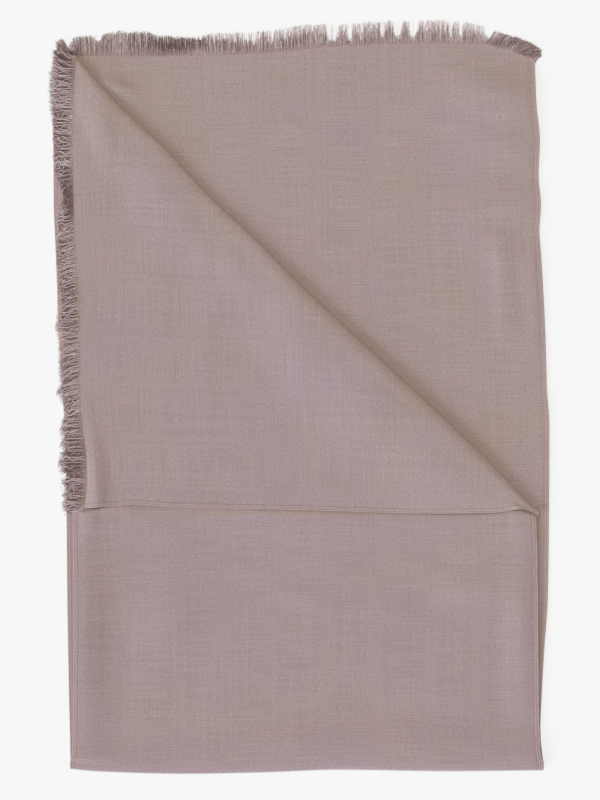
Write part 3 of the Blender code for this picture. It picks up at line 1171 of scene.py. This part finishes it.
@dataclass(frozen=True)
class Disorder:
    """How far loose yarns stray from their table, each a share or its lowest and highest share.

    Widths of the locks; places of the roots along the edge and in from it; lean; gathering into
    locks, and the most of it; arch; yarns that cross a gap; thinning where yarns are broken, length
    of those that are, and their least; reach from lock to lock and from yarn to yarn; and tone from
    lock to lock.
    """

    lock_widths: tuple[float, float] = (0.5, 1.5)
    jitter: float = 0.6
    root_depths: tuple[float, float] = (0.2, 1.0)
    lean: float = 0.7
    gather: float = 0.2
    most_gather: float = 1.1
    arch: tuple[float, float] = (-0.2, 0.5)
    strays: float = 0.07
    thinning: tuple[float, float] = (0.5, 1.4)
    broken: tuple[float, float] = (0.22, 0.60)
    bases: tuple[float, float] = (0.75, 1.2)
    lock_reach: float = 0.10
    yarn_reach: float = 0.16
    lock_tone: float = 0.5


@dataclass
class Fringe:
    """Loose warp yarns along one frayed end, in small round locks with painted shade in the gaps
    between.
    """

    placement: Placement
    layer: Layer
    end: End
    name: str
    node: str
    yarns: tuple[Yarn, ...]
    table: tuple[Reach, ...]
    breaks: tuple[Break, ...]
    painted_light_and_shade: tuple[Patch, ...]
    tip_height: float
    disorder: Disorder = Disorder()
    lock: float = 3.6 * MM
    gather: float = 0.14
    gap_slope: float = 0.45
    lean_growth: float = 1.4
    fall: float = 1.3
    tip_arch: float = 0.5
    tip_share: float = 0.6
    sides: int = 3
    curl: float = 0.4
    most_waves: float = 2.4
    rings_per_wave: float = 3.3
    lock_contrast: float = 0.42
    lit_share: float = 0.6
    root_tone: float = 0.56
    woven: float = 9.0 * MM
    seed: int = 11

    def locks(self, draw: np.random.Generator) -> np.ndarray:
        """Lay out the locks along the frayed end.

        Args:
            draw: Source of the unevenness.

        Returns:
            Places of the edges between them.
        """
        first = min(row.station for row in self.table) * MM
        last = max(row.station for row in self.table) * MM
        count = int((last - first) / self.lock)
        widths = draw.uniform(*self.disorder.lock_widths, count)
        places = np.concatenate(((0.0,), np.cumsum(widths)))
        return lerp(first, last, places / places[-1])

    def column(self, name: str, station: np.ndarray) -> np.ndarray:
        """One column of the fringe's table at the given places."""
        return Line(self.table, "station", name)(station)

    def reaches(self, yarn: Yarn, station: np.ndarray, lock: np.ndarray,
                draw: np.random.Generator) -> np.ndarray:
        """How far each yarn of one kind reaches beyond the edge.

        Args:
            yarn: The kind of yarn.
            station: Where each yarn grows.
            lock: Number of the lock that it belongs to.
            draw: Source of the unevenness.

        Returns:
            A reach for each yarn.
        """
        mess = self.disorder
        count = len(station)
        reach = self.column("reach", station)
        stray = draw.random(count) < mess.strays * (1.0 - yarn.filling)
        for gap in self.breaks:
            place = (station / MM - gap.start) / (gap.end - gap.start)
            inside = (place > 0.0) & (place < 1.0) & ~stray
            depth = np.sin(np.pi * np.clip(place, 0.0, 1.0)) ** self.gap_slope
            reach = np.where(inside, lerp(reach, gap.reach * MM, depth), reach)
        loose = self.column("broken", station) / MM
        reach = reach * (1.0 - yarn.filling * loose * draw.uniform(*mess.thinning, count))
        broken = draw.random(count) < loose * (1.0 - yarn.filling)
        reach = np.where(broken, draw.uniform(*mess.broken, count), 1.0) * reach
        base = self.column("base", station) * draw.uniform(*mess.bases, count)
        reach = np.maximum(reach, base)
        reach = reach * (1.0 - mess.lock_reach * draw.random(lock.max() + 1)[lock])
        return reach * (1.0 - mess.yarn_reach * draw.random(count) ** 2)

    def paths(self, yarn: Yarn, bounds: np.ndarray,
              draw: np.random.Generator) -> tuple[np.ndarray, np.ndarray]:
        """Middle line of each yarn of one kind, and its tone along it.

        Args:
            yarn: The kind of yarn.
            bounds: Places of the edges between locks.
            draw: Source of the unevenness.

        Returns:
            Points by yarn and ring, and a tone for each, from 0 in a gap to 1 where light falls.
        """
        mess = self.disorder
        count = int((bounds[-1] - bounds[0]) / (yarn.pitch * MM))
        number = len(bounds) - 1
        station = np.linspace(bounds[0], bounds[-1], count)
        station = station + draw.uniform(-mess.jitter, mess.jitter, count) * yarn.pitch * MM
        station = np.clip(station, bounds[0], bounds[-1])
        lock = np.clip(np.searchsorted(bounds, station) - 1, 0, number - 1)
        middle = (bounds[:-1] + bounds[1:])[lock] / 2.0
        half = np.diff(bounds)[lock] / 2.0
        inner = 1.0 - ((station - middle) / half) ** 2

        reach = self.reaches(yarn, station, lock, draw)
        droop = self.column("droop", station)[:, None] / MM
        sway = yarn.sway * MM
        lean = self.column("lean", station) + draw.normal(0.0, mess.lean * sway, number)[lock]
        lean = lean + draw.normal(0.0, mess.lean * sway, count)
        drawn_in = np.clip(draw.normal(self.gather, mess.gather, count), 0.0, mess.most_gather)
        gather = (middle - station) * drawn_in * (1.0 - yarn.filling)
        curl = draw.normal(0.0, self.curl * sway, number)[lock]
        curl = curl + draw.normal(0.0, self.curl * sway, count)
        waves = draw.uniform(1.0, min(self.most_waves, yarn.rings / self.rings_per_wave), count)
        phase = draw.uniform(0.0, 2.0 * np.pi, number)[lock]
        arch = yarn.bulge * MM * (inner + draw.uniform(*mess.arch, count))
        tip = self.tip_height + yarn.radius * MM + arch * self.tip_arch

        inset = draw.uniform(*mess.root_depths, count) * yarn.inset * MM
        root = self.layer.rim(station) - self.end.outward * inset[:, None]
        root[:, 2] += CUT.wall + yarn.rise * MM
        t = np.linspace(0.0, 1.0, yarn.rings)[None, :]
        outward = (reach + inset)[:, None] * ((1.0 + droop) * t - droop * t ** 2)
        aside = lean[:, None] * t ** self.lean_growth + gather[:, None] * (1.0 - ease(t))
        aside = aside + curl[:, None] * t * np.sin(np.pi * waves[:, None] * t + phase[:, None])
        points = root[:, None, :] + outward[:, :, None] * self.end.outward
        points[:, :, self.end.axis] += aside
        points[:, :, 2] = lerp(root[:, 2:3], tip[:, None], 1.0 - ease(t * self.fall))
        points[:, :, 2] += arch[:, None] * np.sin(np.pi * t) ** 2

        lit = self.lit(yarn, inner, lock, number, draw)
        woven = ease((outward - inset[:, None]) / self.woven)
        tones = lerp(lit[:, None], self.root_tone, woven)
        # Painted shade and painted light from the fringe's patches.
        tones = tones + patches(self.painted_light_and_shade, points[:, :, 0], points[:, :, 1])
        return points, np.clip(tones, 0.0, 1.0)

    def lit(self, yarn: Yarn, inner: np.ndarray, lock: np.ndarray, number: int,
            draw: np.random.Generator) -> np.ndarray:
        """Tone of each yarn of one kind where it lies loose: painted light towards the middle of its
        lock and painted shade towards its sides, with a random spread.

        Args:
            yarn: The kind of yarn.
            inner: How near the middle of its lock it lies, from 0 to 1.
            lock: Number of the lock that it belongs to.
            number: How many locks there are.
            draw: Source of the unevenness.

        Returns:
            A tone for each yarn.
        """
        contrast = self.lock_contrast * (1.0 - yarn.filling)
        tone = yarn.tone + contrast * (inner - self.lit_share)
        tone = tone + draw.normal(0.0, yarn.uneven, len(lock))
        return tone + draw.normal(0.0, self.disorder.lock_tone * yarn.uneven, number)[lock]

    def tubes(self, points: np.ndarray, radius: float) -> tuple[np.ndarray, list[list[int]]]:
        """Round yarns along their middle lines.

        Args:
            points: Points by yarn and ring.
            radius: Radius of a yarn at its root.

        Returns:
            The corners, and the faces as lists of their numbers.
        """
        count, rings = points.shape[:2]
        ahead = np.gradient(points, axis=1)
        ahead /= np.linalg.norm(ahead, axis=2, keepdims=True)
        beside = np.cross(ahead, np.array((0.0, 0.0, 1.0)))
        beside /= np.linalg.norm(beside, axis=2, keepdims=True)
        above = np.cross(beside, ahead)
        taper = radius * lerp(1.0, self.tip_share, np.linspace(0.0, 1.0, rings) ** 2)
        turn = np.linspace(0.0, 2.0 * np.pi, self.sides, endpoint=False) + 0.5 * np.pi
        ring = np.cos(turn)[:, None] * beside[:, :, None, :]
        ring = ring + np.sin(turn)[:, None] * above[:, :, None, :]
        verts = points[:, :, None, :] + taper[None, :, None, None] * ring
        index = np.arange(count * rings * self.sides).reshape(count, rings, self.sides)
        near, far = index[:, :-1], index[:, 1:]
        walls = np.stack((near, np.roll(near, -1, axis=2), np.roll(far, -1, axis=2), far), axis=-1)
        caps = np.concatenate((index[:, 0, ::-1], index[:, -1, :]))
        return verts.reshape(-1, 3), walls.reshape(-1, 4).tolist() + caps.tolist()

    def build(self, material: bpy.types.Material) -> bpy.types.Object:
        """Make all the yarns as one piece.

        Args:
            material: The yarns' finish.

        Returns:
            The finished piece.
        """
        draw = np.random.default_rng(self.seed)
        bounds = self.locks(draw)
        verts: list[np.ndarray] = []
        faces: list[list[int]] = []
        tones: list[np.ndarray] = []
        for yarn in self.yarns:
            points, tone = self.paths(yarn, bounds, draw)
            corners, sides = self.tubes(self.placement.place(points), yarn.radius * MM)
            first = sum(len(done) for done in verts)
            verts.append(corners)
            faces.extend([first + corner for corner in face] for face in sides)
            tones.append(np.repeat(tone.ravel(), self.sides))
        mesh = bpy.data.meshes.new(self.name)
        mesh.from_pydata(np.concatenate(verts).tolist(), [], faces)
        mesh.update()
        mesh.attributes.new(TONE, "FLOAT", "POINT").data.foreach_set("value", np.concatenate(tones))
        mesh.shade_smooth()
        mesh.materials.append(material)
        piece = add_object(self.name, mesh)
        LOG.info("%s: %d faces", self.name, len(mesh.polygons))
        return piece


# ---------------------------------------------------------------- finishes


class Tree:
    """Short ways to add and join the nodes of one node tree."""

    def __init__(self, tree: bpy.types.NodeTree) -> None:
        """Work on one tree."""
        self.tree = tree

    @staticmethod
    def settle(node: bpy.types.Node, values: dict[str, object]) -> None:
        """Set inputs of a node by their names."""
        for name, value in values.items():
            node.inputs[name].default_value = value

    def add(self, kind: str, **values: object) -> bpy.types.Node:
        """Add a node.

        Args:
            kind: The node's type, without its ShaderNode prefix.
            values: Its settings.

        Returns:
            The node.
        """
        node = self.tree.nodes.new("ShaderNode" + kind)
        for key, value in values.items():
            setattr(node, key, value)
        return node

    def join(self, source: object, target: bpy.types.NodeSocket) -> None:
        """Feed an input.

        Args:
            source: An output to link, or a plain value to set.
            target: The input.
        """
        if isinstance(source, bpy.types.NodeSocket):
            self.tree.links.new(source, target)
        else:
            target.default_value = source

    def math(self, operation: str, first: object, second: object = 0.0) -> bpy.types.NodeSocket:
        """The result of one sum.

        Args:
            operation: Its name in Blender's Math node.
            first: An output or a number.
            second: Another one, where the sum takes two.

        Returns:
            The output that carries it.
        """
        node = self.add("Math", operation=operation)
        self.join(first, node.inputs[0])
        self.join(second, node.inputs[1])
        return node.outputs[0]

    def centred(self, value: object, strength: float) -> bpy.types.NodeSocket:
        """A value that lies round a half, carried to lie round zero at the given strength."""
        return self.math("MULTIPLY", self.math("SUBTRACT", value, 0.5), strength)

    def wave(self, turns: object) -> bpy.types.NodeSocket:
        """A sine that repeats with each whole turn."""
        return self.math("SINE", self.math("MULTIPLY", turns, 2.0 * math.pi))

    def split(self, vector: object) -> bpy.types.Node:
        """Take a vector apart.

        Args:
            vector: An output that carries one.

        Returns:
            The node with its X, Y and Z outputs.
        """
        node = self.add("SeparateXYZ")
        self.join(vector, node.inputs[0])
        return node

    def cells(self, vector: object, sizes: Sequence[float],
              move: Sequence[float] = (0.0, 0.0, 0.0)) -> bpy.types.NodeSocket:
        """A vector counted in cells along its axes.

        Args:
            vector: An output that carries it.
            sizes: Size of a cell along each axis.
            move: How many cells it is moved by.

        Returns:
            The output that carries the result.
        """
        node = self.add("Mapping")
        self.join(vector, node.inputs["Vector"])
        self.settle(node, {"Scale": [1.0 / size for size in sizes], "Location": move})
        return node.outputs["Vector"]

    def noise(self, vector: object, detail: float = 2.0,
              roughness: float = 0.5) -> bpy.types.NodeSocket:
        """A soft random value from 0 to 1, over cells of size one.

        Args:
            vector: The place, counted in cells.
            detail: How many finer scales are added.
            roughness: How strong they are.

        Returns:
            The output that carries it.
        """
        node = self.add("TexNoise", noise_dimensions="3D")
        self.join(vector, node.inputs["Vector"])
        self.settle(node, {"Scale": 1.0, "Detail": detail, "Roughness": roughness})
        return node.outputs["Fac"]

    def spread(self, value: object, low: float, high: float, out_low: float = 0.0,
               out_high: float = 1.0) -> bpy.types.NodeSocket:
        """A value carried from one range to another, and held at its ends.

        Args:
            value: An output that carries it.
            low: Lower end of the range that it comes from.
            high: Upper end of that range.
            out_low: Lower end of the range that it goes to.
            out_high: Upper end of that range.

        Returns:
            The output that carries the result.
        """
        node = self.add("MapRange")
        self.join(value, node.inputs["Value"])
        self.settle(node, {"From Min": low, "From Max": high})
        self.settle(node, {"To Min": out_low, "To Max": out_high})
        return node.outputs["Result"]

    def blend(self, way: str, share: object, first: object, second: object) -> bpy.types.NodeSocket:
        """Two colours mixed in one of Blender's ways.

        Args:
            way: The way's name in Blender's Mix node.
            share: How much of the second colour shows.
            first: The first colour.
            second: The second colour.

        Returns:
            The output that carries the result.
        """
        node = self.add("Mix", data_type="RGBA", blend_type=way)
        for index, value in ((0, share), (6, first), (7, second)):
            self.join(value, node.inputs[index])
        return node.outputs[2]


def new_group(name: str, inputs: Sequence[tuple[str, str]],
              outputs: Sequence[tuple[str, str]]) -> tuple[Tree, bpy.types.Node, bpy.types.Node]:
    """An empty shader group.

    Args:
        name: The group's name.
        inputs: Name and socket type of each input.
        outputs: Name and socket type of each output.

    Returns:
        Its tree, and its input and output nodes.
    """
    group = bpy.data.node_groups.new(name, "ShaderNodeTree")
    for way, sockets in (("INPUT", inputs), ("OUTPUT", outputs)):
        for label, kind in sockets:
            group.interface.new_socket(label, in_out=way, socket_type=kind)
    tree = Tree(group)
    return tree, group.nodes.new("NodeGroupInput"), group.nodes.new("NodeGroupOutput")


VALUE = "NodeSocketFloat"
VECTOR = "NodeSocketVector"


class Streak(NamedTuple):
    """One scale at which the yarns are uneven: its cell in millimetres, its start and strength."""

    along_weft: float
    along_warp: float
    start: tuple[float, float, float]
    roughness: float
    strength: float


STREAKS = (
    Streak(4.5, 1.6, (0.0, 0.0, 0.0), 0.6, 0.75),
    Streak(75.0, 1.9, (3.0, 5.0, 0.0), 0.5, 0.40),
    Streak(3.0, 300.0, (7.0, 1.0, 0.0), 0.5, 0.22),
)


class Stop(NamedTuple):
    """Shade of the cloth at one share of the band that the selvedge's lines take up, with a painted
    highlight on the cord and painted shade in the groove inside it.
    """

    place: float
    shade: float


# Painted light and shade of the selvedge: the pale cord is a painted highlight, and the dark line
# inside it is painted shade.
EDGE_STOPS = (
    Stop(0.0, 0.86),
    Stop(0.07, 0.96),
    Stop(0.17, 0.82),
    Stop(0.30, 0.83),
    Stop(0.52, 0.84),
    Stop(0.62, 0.68),
    Stop(0.74, 0.80),
)


@dataclass
class Effects:
    """The effects that the cloth and its yarns share, each built once."""

    wander_cell: tuple[float, float, float] = (9.0 * MM, 4.0 * MM, 1.0)
    wander: float = 1.6
    rib: float = 0.32
    pick: float = 0.12
    picks_pitch: float = 0.5
    twill_shades: tuple[float, float] = (0.93, 1.07)
    dye_roughness: float = 0.55
    dye_range: tuple[float, float] = (0.35, 0.65)
    fine_detail: float = 3.0
    edge_band: float = 10.0 * MM
    edge_lift: float = 0.20

    def __post_init__(self) -> None:
        """Build the groups."""
        self.twill = self.build_twill()
        self.streaks = self.build_streaks()
        self.dye = self.build_dye()
        self.edges = self.build_edges()

    def build_twill(self) -> bpy.types.NodeTree:
        """Diagonal ribs of a fine twill, a little uneven.

        Returns:
            A group that gives a height and a shade.
        """
        tree, given, result = new_group("fine twill", (("Weave", VECTOR), ("Pitch", VALUE)),
                                        (("Height", VALUE), ("Shade", VALUE)))
        weave, pitch = given.outputs["Weave"], given.outputs["Pitch"]
        parts = tree.split(weave)
        wander = tree.noise(tree.cells(weave, self.wander_cell), self.fine_detail)
        run = tree.math("ADD", parts.outputs["X"], parts.outputs["Y"])
        turns = tree.math("DIVIDE", run, pitch)
        turns = tree.math("ADD", turns, tree.math("MULTIPLY", wander, self.wander))
        ribs = tree.wave(turns)
        picks_pitch = tree.math("MULTIPLY", pitch, self.picks_pitch)
        picks = tree.math("DIVIDE", parts.outputs["Y"], picks_pitch)
        picks = tree.math("MULTIPLY", tree.wave(picks), self.pick)
        cloth = tree.math("ADD", tree.math("MULTIPLY", ribs, self.rib), picks)
        height = tree.math("ADD", cloth, 0.5)
        tree.join(height, result.inputs["Height"])
        tree.join(tree.spread(height, 0.0, 1.0, *self.twill_shades), result.inputs["Shade"])
        return tree.tree

    def build_streaks(self) -> bpy.types.NodeTree:
        """Yarns a little thicker and thinner than their neighbours.

        Returns:
            A group that gives a shade round one and a slub round a half.
        """
        tree, given, result = new_group("uneven yarns", (("Weave", VECTOR), ("Strength", VALUE)),
                                        (("Shade", VALUE), ("Slub", VALUE)))
        total: object = 0.0
        for streak in STREAKS:
            sizes = (streak.along_weft * MM, streak.along_warp * MM, 1.0)
            place = tree.cells(given.outputs["Weave"], sizes, streak.start)
            noise = tree.noise(place, roughness=streak.roughness)
            total = tree.math("ADD", total, tree.centred(noise, streak.strength))
        shade = tree.math("MULTIPLY", total, given.outputs["Strength"])
        tree.join(tree.math("ADD", shade, 1.0), result.inputs["Shade"])
        tree.join(tree.math("ADD", total, 0.5), result.inputs["Slub"])
        return tree.tree

    def build_dye(self) -> bpy.types.NodeTree:
        """Where the dye took warmer.

        Returns:
            A group that gives a mask.
        """
        tree, given, result = new_group("uneven dye", (("Place", VECTOR), ("Patch", VALUE)),
                                        (("Warm", VALUE),))
        scaled = tree.add("VectorMath", operation="SCALE")
        tree.join(given.outputs["Place"], scaled.inputs[0])
        tree.join(tree.math("DIVIDE", 1.0, given.outputs["Patch"]), scaled.inputs["Scale"])
        warm = tree.noise(scaled.outputs[0], self.fine_detail, self.dye_roughness)
        tree.join(tree.spread(warm, *self.dye_range), result.inputs["Warm"])
        return tree.tree

    def build_edges(self) -> bpy.types.NodeTree:
        """The selvedge's cord and the groove inside it: a painted highlight on the cord and painted
        shade in the groove.

        Returns:
            A group that gives a shade round one.
        """
        tree, given, result = new_group("selvedge lines", (("Weave", VECTOR), ("Width", VALUE)),
                                        (("Shade", VALUE),))
        parts = tree.split(given.outputs["Weave"])
        far = tree.math("SUBTRACT", given.outputs["Width"], parts.outputs["X"])
        inset = tree.math("MINIMUM", parts.outputs["X"], far)
        ramp = tree.add("ValToRGB")
        tree.join(tree.spread(inset, 0.0, self.edge_band), ramp.inputs[0])
        elements = ramp.color_ramp.elements
        while len(elements) < len(EDGE_STOPS):
            elements.new(0.5)
        for element, (place, shade) in zip(elements, EDGE_STOPS):
            element.position = place
            element.color = (shade, shade, shade, 1.0)
        tree.join(tree.math("ADD", ramp.outputs["Color"], self.edge_lift), result.inputs["Shade"])
        return tree.tree


def use(tree: Tree, group: bpy.types.NodeTree, **given: object) -> bpy.types.Node:
    """Place a shared effect in a material.

    Args:
        tree: The material's tree.
        group: The effect.
        given: A value or an output for each of its inputs.

    Returns:
        The group's node.
    """
    node = tree.add("Group", node_tree=group)
    for label, value in given.items():
        tree.join(value, node.inputs[label])
    return node


def new_material(name: str) -> tuple[bpy.types.Material, Tree, bpy.types.Node]:
    """A new material.

    Args:
        name: Its name.

    Returns:
        The material, its tree and its Principled shader.
    """
    made = bpy.data.materials.new(name)
    made.use_nodes = True
    return made, Tree(made.node_tree), made.node_tree.nodes["Principled BSDF"]


def opaque(color: tuple[float, float, float]) -> tuple[float, float, float, float]:
    """A colour with nothing of what is behind it."""
    return (*color, 1.0)


def cloth_material(finish: WeaveFinish, effects: Effects) -> bpy.types.Material:
    """The woven cloth.

    Args:
        finish: Its colours and surface.
        effects: The shared effects.

    Returns:
        The material.
    """
    made, tree, shader = new_material(finish.name)
    weave = tree.add("UVMap", uv_map=WEAVE_MAP).outputs[0]
    place = tree.add("TexCoord").outputs["Object"]
    twill = use(tree, effects.twill, Weave=weave, Pitch=finish.pitch)
    streaks = use(tree, effects.streaks, Weave=weave, Strength=finish.unevenness)
    dye = use(tree, effects.dye, Place=place, Patch=finish.dye_patch)
    edges = use(tree, effects.edges, Weave=weave, Width=CUT.width)

    uneven = tree.centred(dye.outputs["Warm"], finish.dye_share)
    # The warmth attribute adds the layers' warmth and patches, some of them painted shade tints, to
    # the uneven dye.
    warmth = tree.math("ADD", tree.add("Attribute", attribute_name=WARMTH).outputs["Fac"], uneven)
    warmth = tree.spread(warmth, 0.0, 1.0)
    color = tree.blend("MIX", warmth, opaque(finish.color), opaque(finish.warm))
    shade = tree.math("MULTIPLY", streaks.outputs["Shade"], twill.outputs["Shade"])
    shade = tree.math("MULTIPLY", shade, edges.outputs["Shade"])
    tree.join(tree.blend("MULTIPLY", 1.0, color, shade), shader.inputs["Base Color"])

    rough = tree.spread(streaks.outputs["Slub"], *finish.slubs,
                        finish.roughness - finish.roughness_spread,
                        finish.roughness + finish.roughness_spread)
    tree.join(rough, shader.inputs["Roughness"])
    tree.settle(shader, {"Sheen Weight": finish.sheen, "Sheen Roughness": finish.sheen_roughness,
                         "Specular IOR Level": finish.specular})

    bump = tree.add("Bump")
    relief = tree.math("ADD", twill.outputs["Height"], streaks.outputs["Slub"])
    tree.join(relief, bump.inputs["Height"])
    tree.settle(bump, {"Distance": finish.relief, "Strength": 1.0})
    tree.join(bump.outputs["Normal"], shader.inputs["Normal"])
    return made


def yarn_material(finish: YarnFinish, effects: Effects) -> bpy.types.Material:
    """The loose yarns.

    Args:
        finish: Their colours and surface.
        effects: The shared effects.

    Returns:
        The material.
    """
    made, tree, shader = new_material(finish.name)
    place = tree.add("TexCoord").outputs["Object"]
    tone = tree.add("Attribute", attribute_name=TONE).outputs["Fac"]
    crimp = tree.noise(tree.cells(place, (finish.crimp,) * 3), roughness=finish.crimp_roughness)
    shaded = tree.math("ADD", tone, tree.centred(crimp, finish.crimp_share))
    # The tone runs from the painted shade of a gap through the yarn's own colour to a painted
    # highlight where it lies high.
    color = tree.blend("MIX", tree.spread(shaded, 0.0, finish.color_tone), opaque(finish.gap),
                       opaque(finish.color))
    color = tree.blend("MIX", tree.spread(shaded, finish.color_tone, 1.0), color,
                       opaque(finish.pale))
    dye = use(tree, effects.dye, Place=place, Patch=finish.dye_patch)
    dyed = tree.spread(dye.outputs["Warm"], 0.0, 1.0, *finish.dye_shades)
    tree.join(tree.blend("MULTIPLY", 1.0, color, dyed), shader.inputs["Base Color"])
    tree.settle(shader, {"Roughness": finish.roughness, "Sheen Weight": finish.sheen,
                         "Specular IOR Level": finish.specular})
    return made


# ---------------------------------------------------------------- studio


class Lamp(NamedTuple):
    """A broad lamp: its share of the light on the floor, its angles in degrees, and its colour."""

    name: str
    share: float
    softness: float
    elevation: float
    azimuth: float
    color: tuple[float, float, float]


@dataclass
class Studio:
    """A pale floor, two broad lamps under an even sky, and a camera straight above."""

    view_height: float = 1.164
    lens: float = 85.0
    sensor: float = 36.0
    middle: tuple[float, float] = (0.0009, -0.0033)
    floor_size: float = 40.0
    floor_color: tuple[float, float, float, float] = (0.24, 0.24, 0.24, 1.0)
    floor_glow: float = 0.69
    floor_drop: float = 0.1 * MM
    farthest: float = 100.0
    sky: float = 0.43
    sky_color: tuple[float, float, float, float] = (1.055, 1.00, 0.90, 1.0)
    lamps: tuple[Lamp, ...] = (
        Lamp("low_left", 0.27, 24.0, 12.5, 218.0, (0.85, 1.00, 1.27)),
        Lamp("high", 0.30, 44.0, 58.0, 120.0, (1.055, 1.00, 0.90)),
    )

    def build(self) -> None:
        """Set up the floor, the light and the camera."""
        self.build_floor()
        self.build_light()
        self.build_camera()

    def build_floor(self) -> None:
        """A pale matte table top."""
        bpy.ops.object.select_all(action="DESELECT")
        bpy.ops.mesh.primitive_plane_add(size=self.floor_size, location=(0.0, 0.0, -self.floor_drop))
        floor = bpy.context.object
        floor.name = "table_top"
        made, tree, shader = new_material("pale table top")
        tree.settle(shader, {
            "Base Color": self.floor_color,
            "Roughness": 1.0,
            "Specular IOR Level": 0.0,
            "Emission Color": (1.0, 1.0, 1.0, 1.0),
            "Emission Strength": self.floor_glow,
        })
        floor.data.materials.append(made)

    def build_light(self) -> None:
        """A low lamp at the lower left, a high one at the upper left, and an even sky."""
        world = bpy.data.worlds.new("soft room")
        world.use_nodes = True
        sky = world.node_tree.nodes["Background"]
        Tree.settle(sky, {"Color": self.sky_color, "Strength": self.sky})
        bpy.context.scene.world = world
        for lamp in self.lamps:
            sun = bpy.data.lights.new(lamp.name, "SUN")
            azimuth, elevation = math.radians(lamp.azimuth), math.radians(lamp.elevation)
            sun.energy = math.pi * lamp.share / math.sin(elevation)
            sun.angle = math.radians(lamp.softness)
            sun.color = lamp.color
            light = add_object(lamp.name, sun)
            towards = Vector((math.cos(azimuth) * math.cos(elevation),
                              math.sin(azimuth) * math.cos(elevation), math.sin(elevation)))
            light.rotation_euler = towards.to_track_quat("Z", "Y").to_euler()

    def build_camera(self) -> None:
        """A long lens straight above the shawl."""
        camera = bpy.data.cameras.new("above")
        camera.lens = self.lens
        camera.sensor_width = self.sensor
        camera.clip_end = self.farthest
        eye = add_object("above", camera)
        eye.location = (*self.middle, self.view_height * self.lens / self.sensor)
        bpy.context.scene.camera = eye
        bpy.context.scene.view_settings.view_transform = "Standard"


# ---------------------------------------------------------------- the shawl


@dataclass
class Shawl:
    """The folded shawl: three stretches of one cloth, and its two frayed ends."""

    placement: Placement
    weave: WeaveFinish = WeaveFinish()
    yarn: YarnFinish = YarnFinish()

    def build(self) -> None:
        """Make, dress and place every piece."""
        effects = Effects()
        cloth = cloth_material(self.weave, effects)
        yarn = yarn_material(self.yarn, effects)
        back = BackLayer(self.placement)
        front = FrontLayer(self.placement)
        corner = TurnedCornerLayer(self.placement)
        layers = {layer.node: layer.build(cloth) for layer in (back, front, corner)}
        top = Fringe(self.placement, back, End.TOP, "top_fringe", "back_fringe", TOP_YARNS,
                     TOP_REACH, TOP_BREAKS, TOP_PAINTED_LIGHT_AND_SHADE, tip_height=0.15 * MM)
        side = Fringe(self.placement, corner, End.SIDE, "side_fringe", "corner_fringe", SIDE_YARNS,
                      SIDE_REACH, SIDE_BREAKS, SIDE_PAINTED_LIGHT_AND_SHADE, tip_height=1.2 * MM, gather=0.36,
                      lock_contrast=0.84, root_tone=0.92, woven=5.6 * MM, curl=0.62,
                      most_waves=5.4, seed=5)
        fringes = {fringe.node: fringe.build(yarn) for fringe in (top, side)}
        for node, piece in layers.items():
            self.place(piece, node, "cloth")
        for node, piece in fringes.items():
            self.place(piece, node, "fringe")

    def place(self, piece: bpy.types.Object, node: str, slot: str) -> None:
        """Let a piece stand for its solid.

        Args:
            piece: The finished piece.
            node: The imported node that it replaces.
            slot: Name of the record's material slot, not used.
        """
        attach(piece, "root")
        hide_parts(node)


def main() -> None:
    """Build the shawl and the studio round it."""
    logging.basicConfig(level=logging.INFO, format="%(name)s: %(message)s")
    Shawl(Placement.on_the_frame()).build()
    Studio().build()


if __name__ == "__main__":
    main()
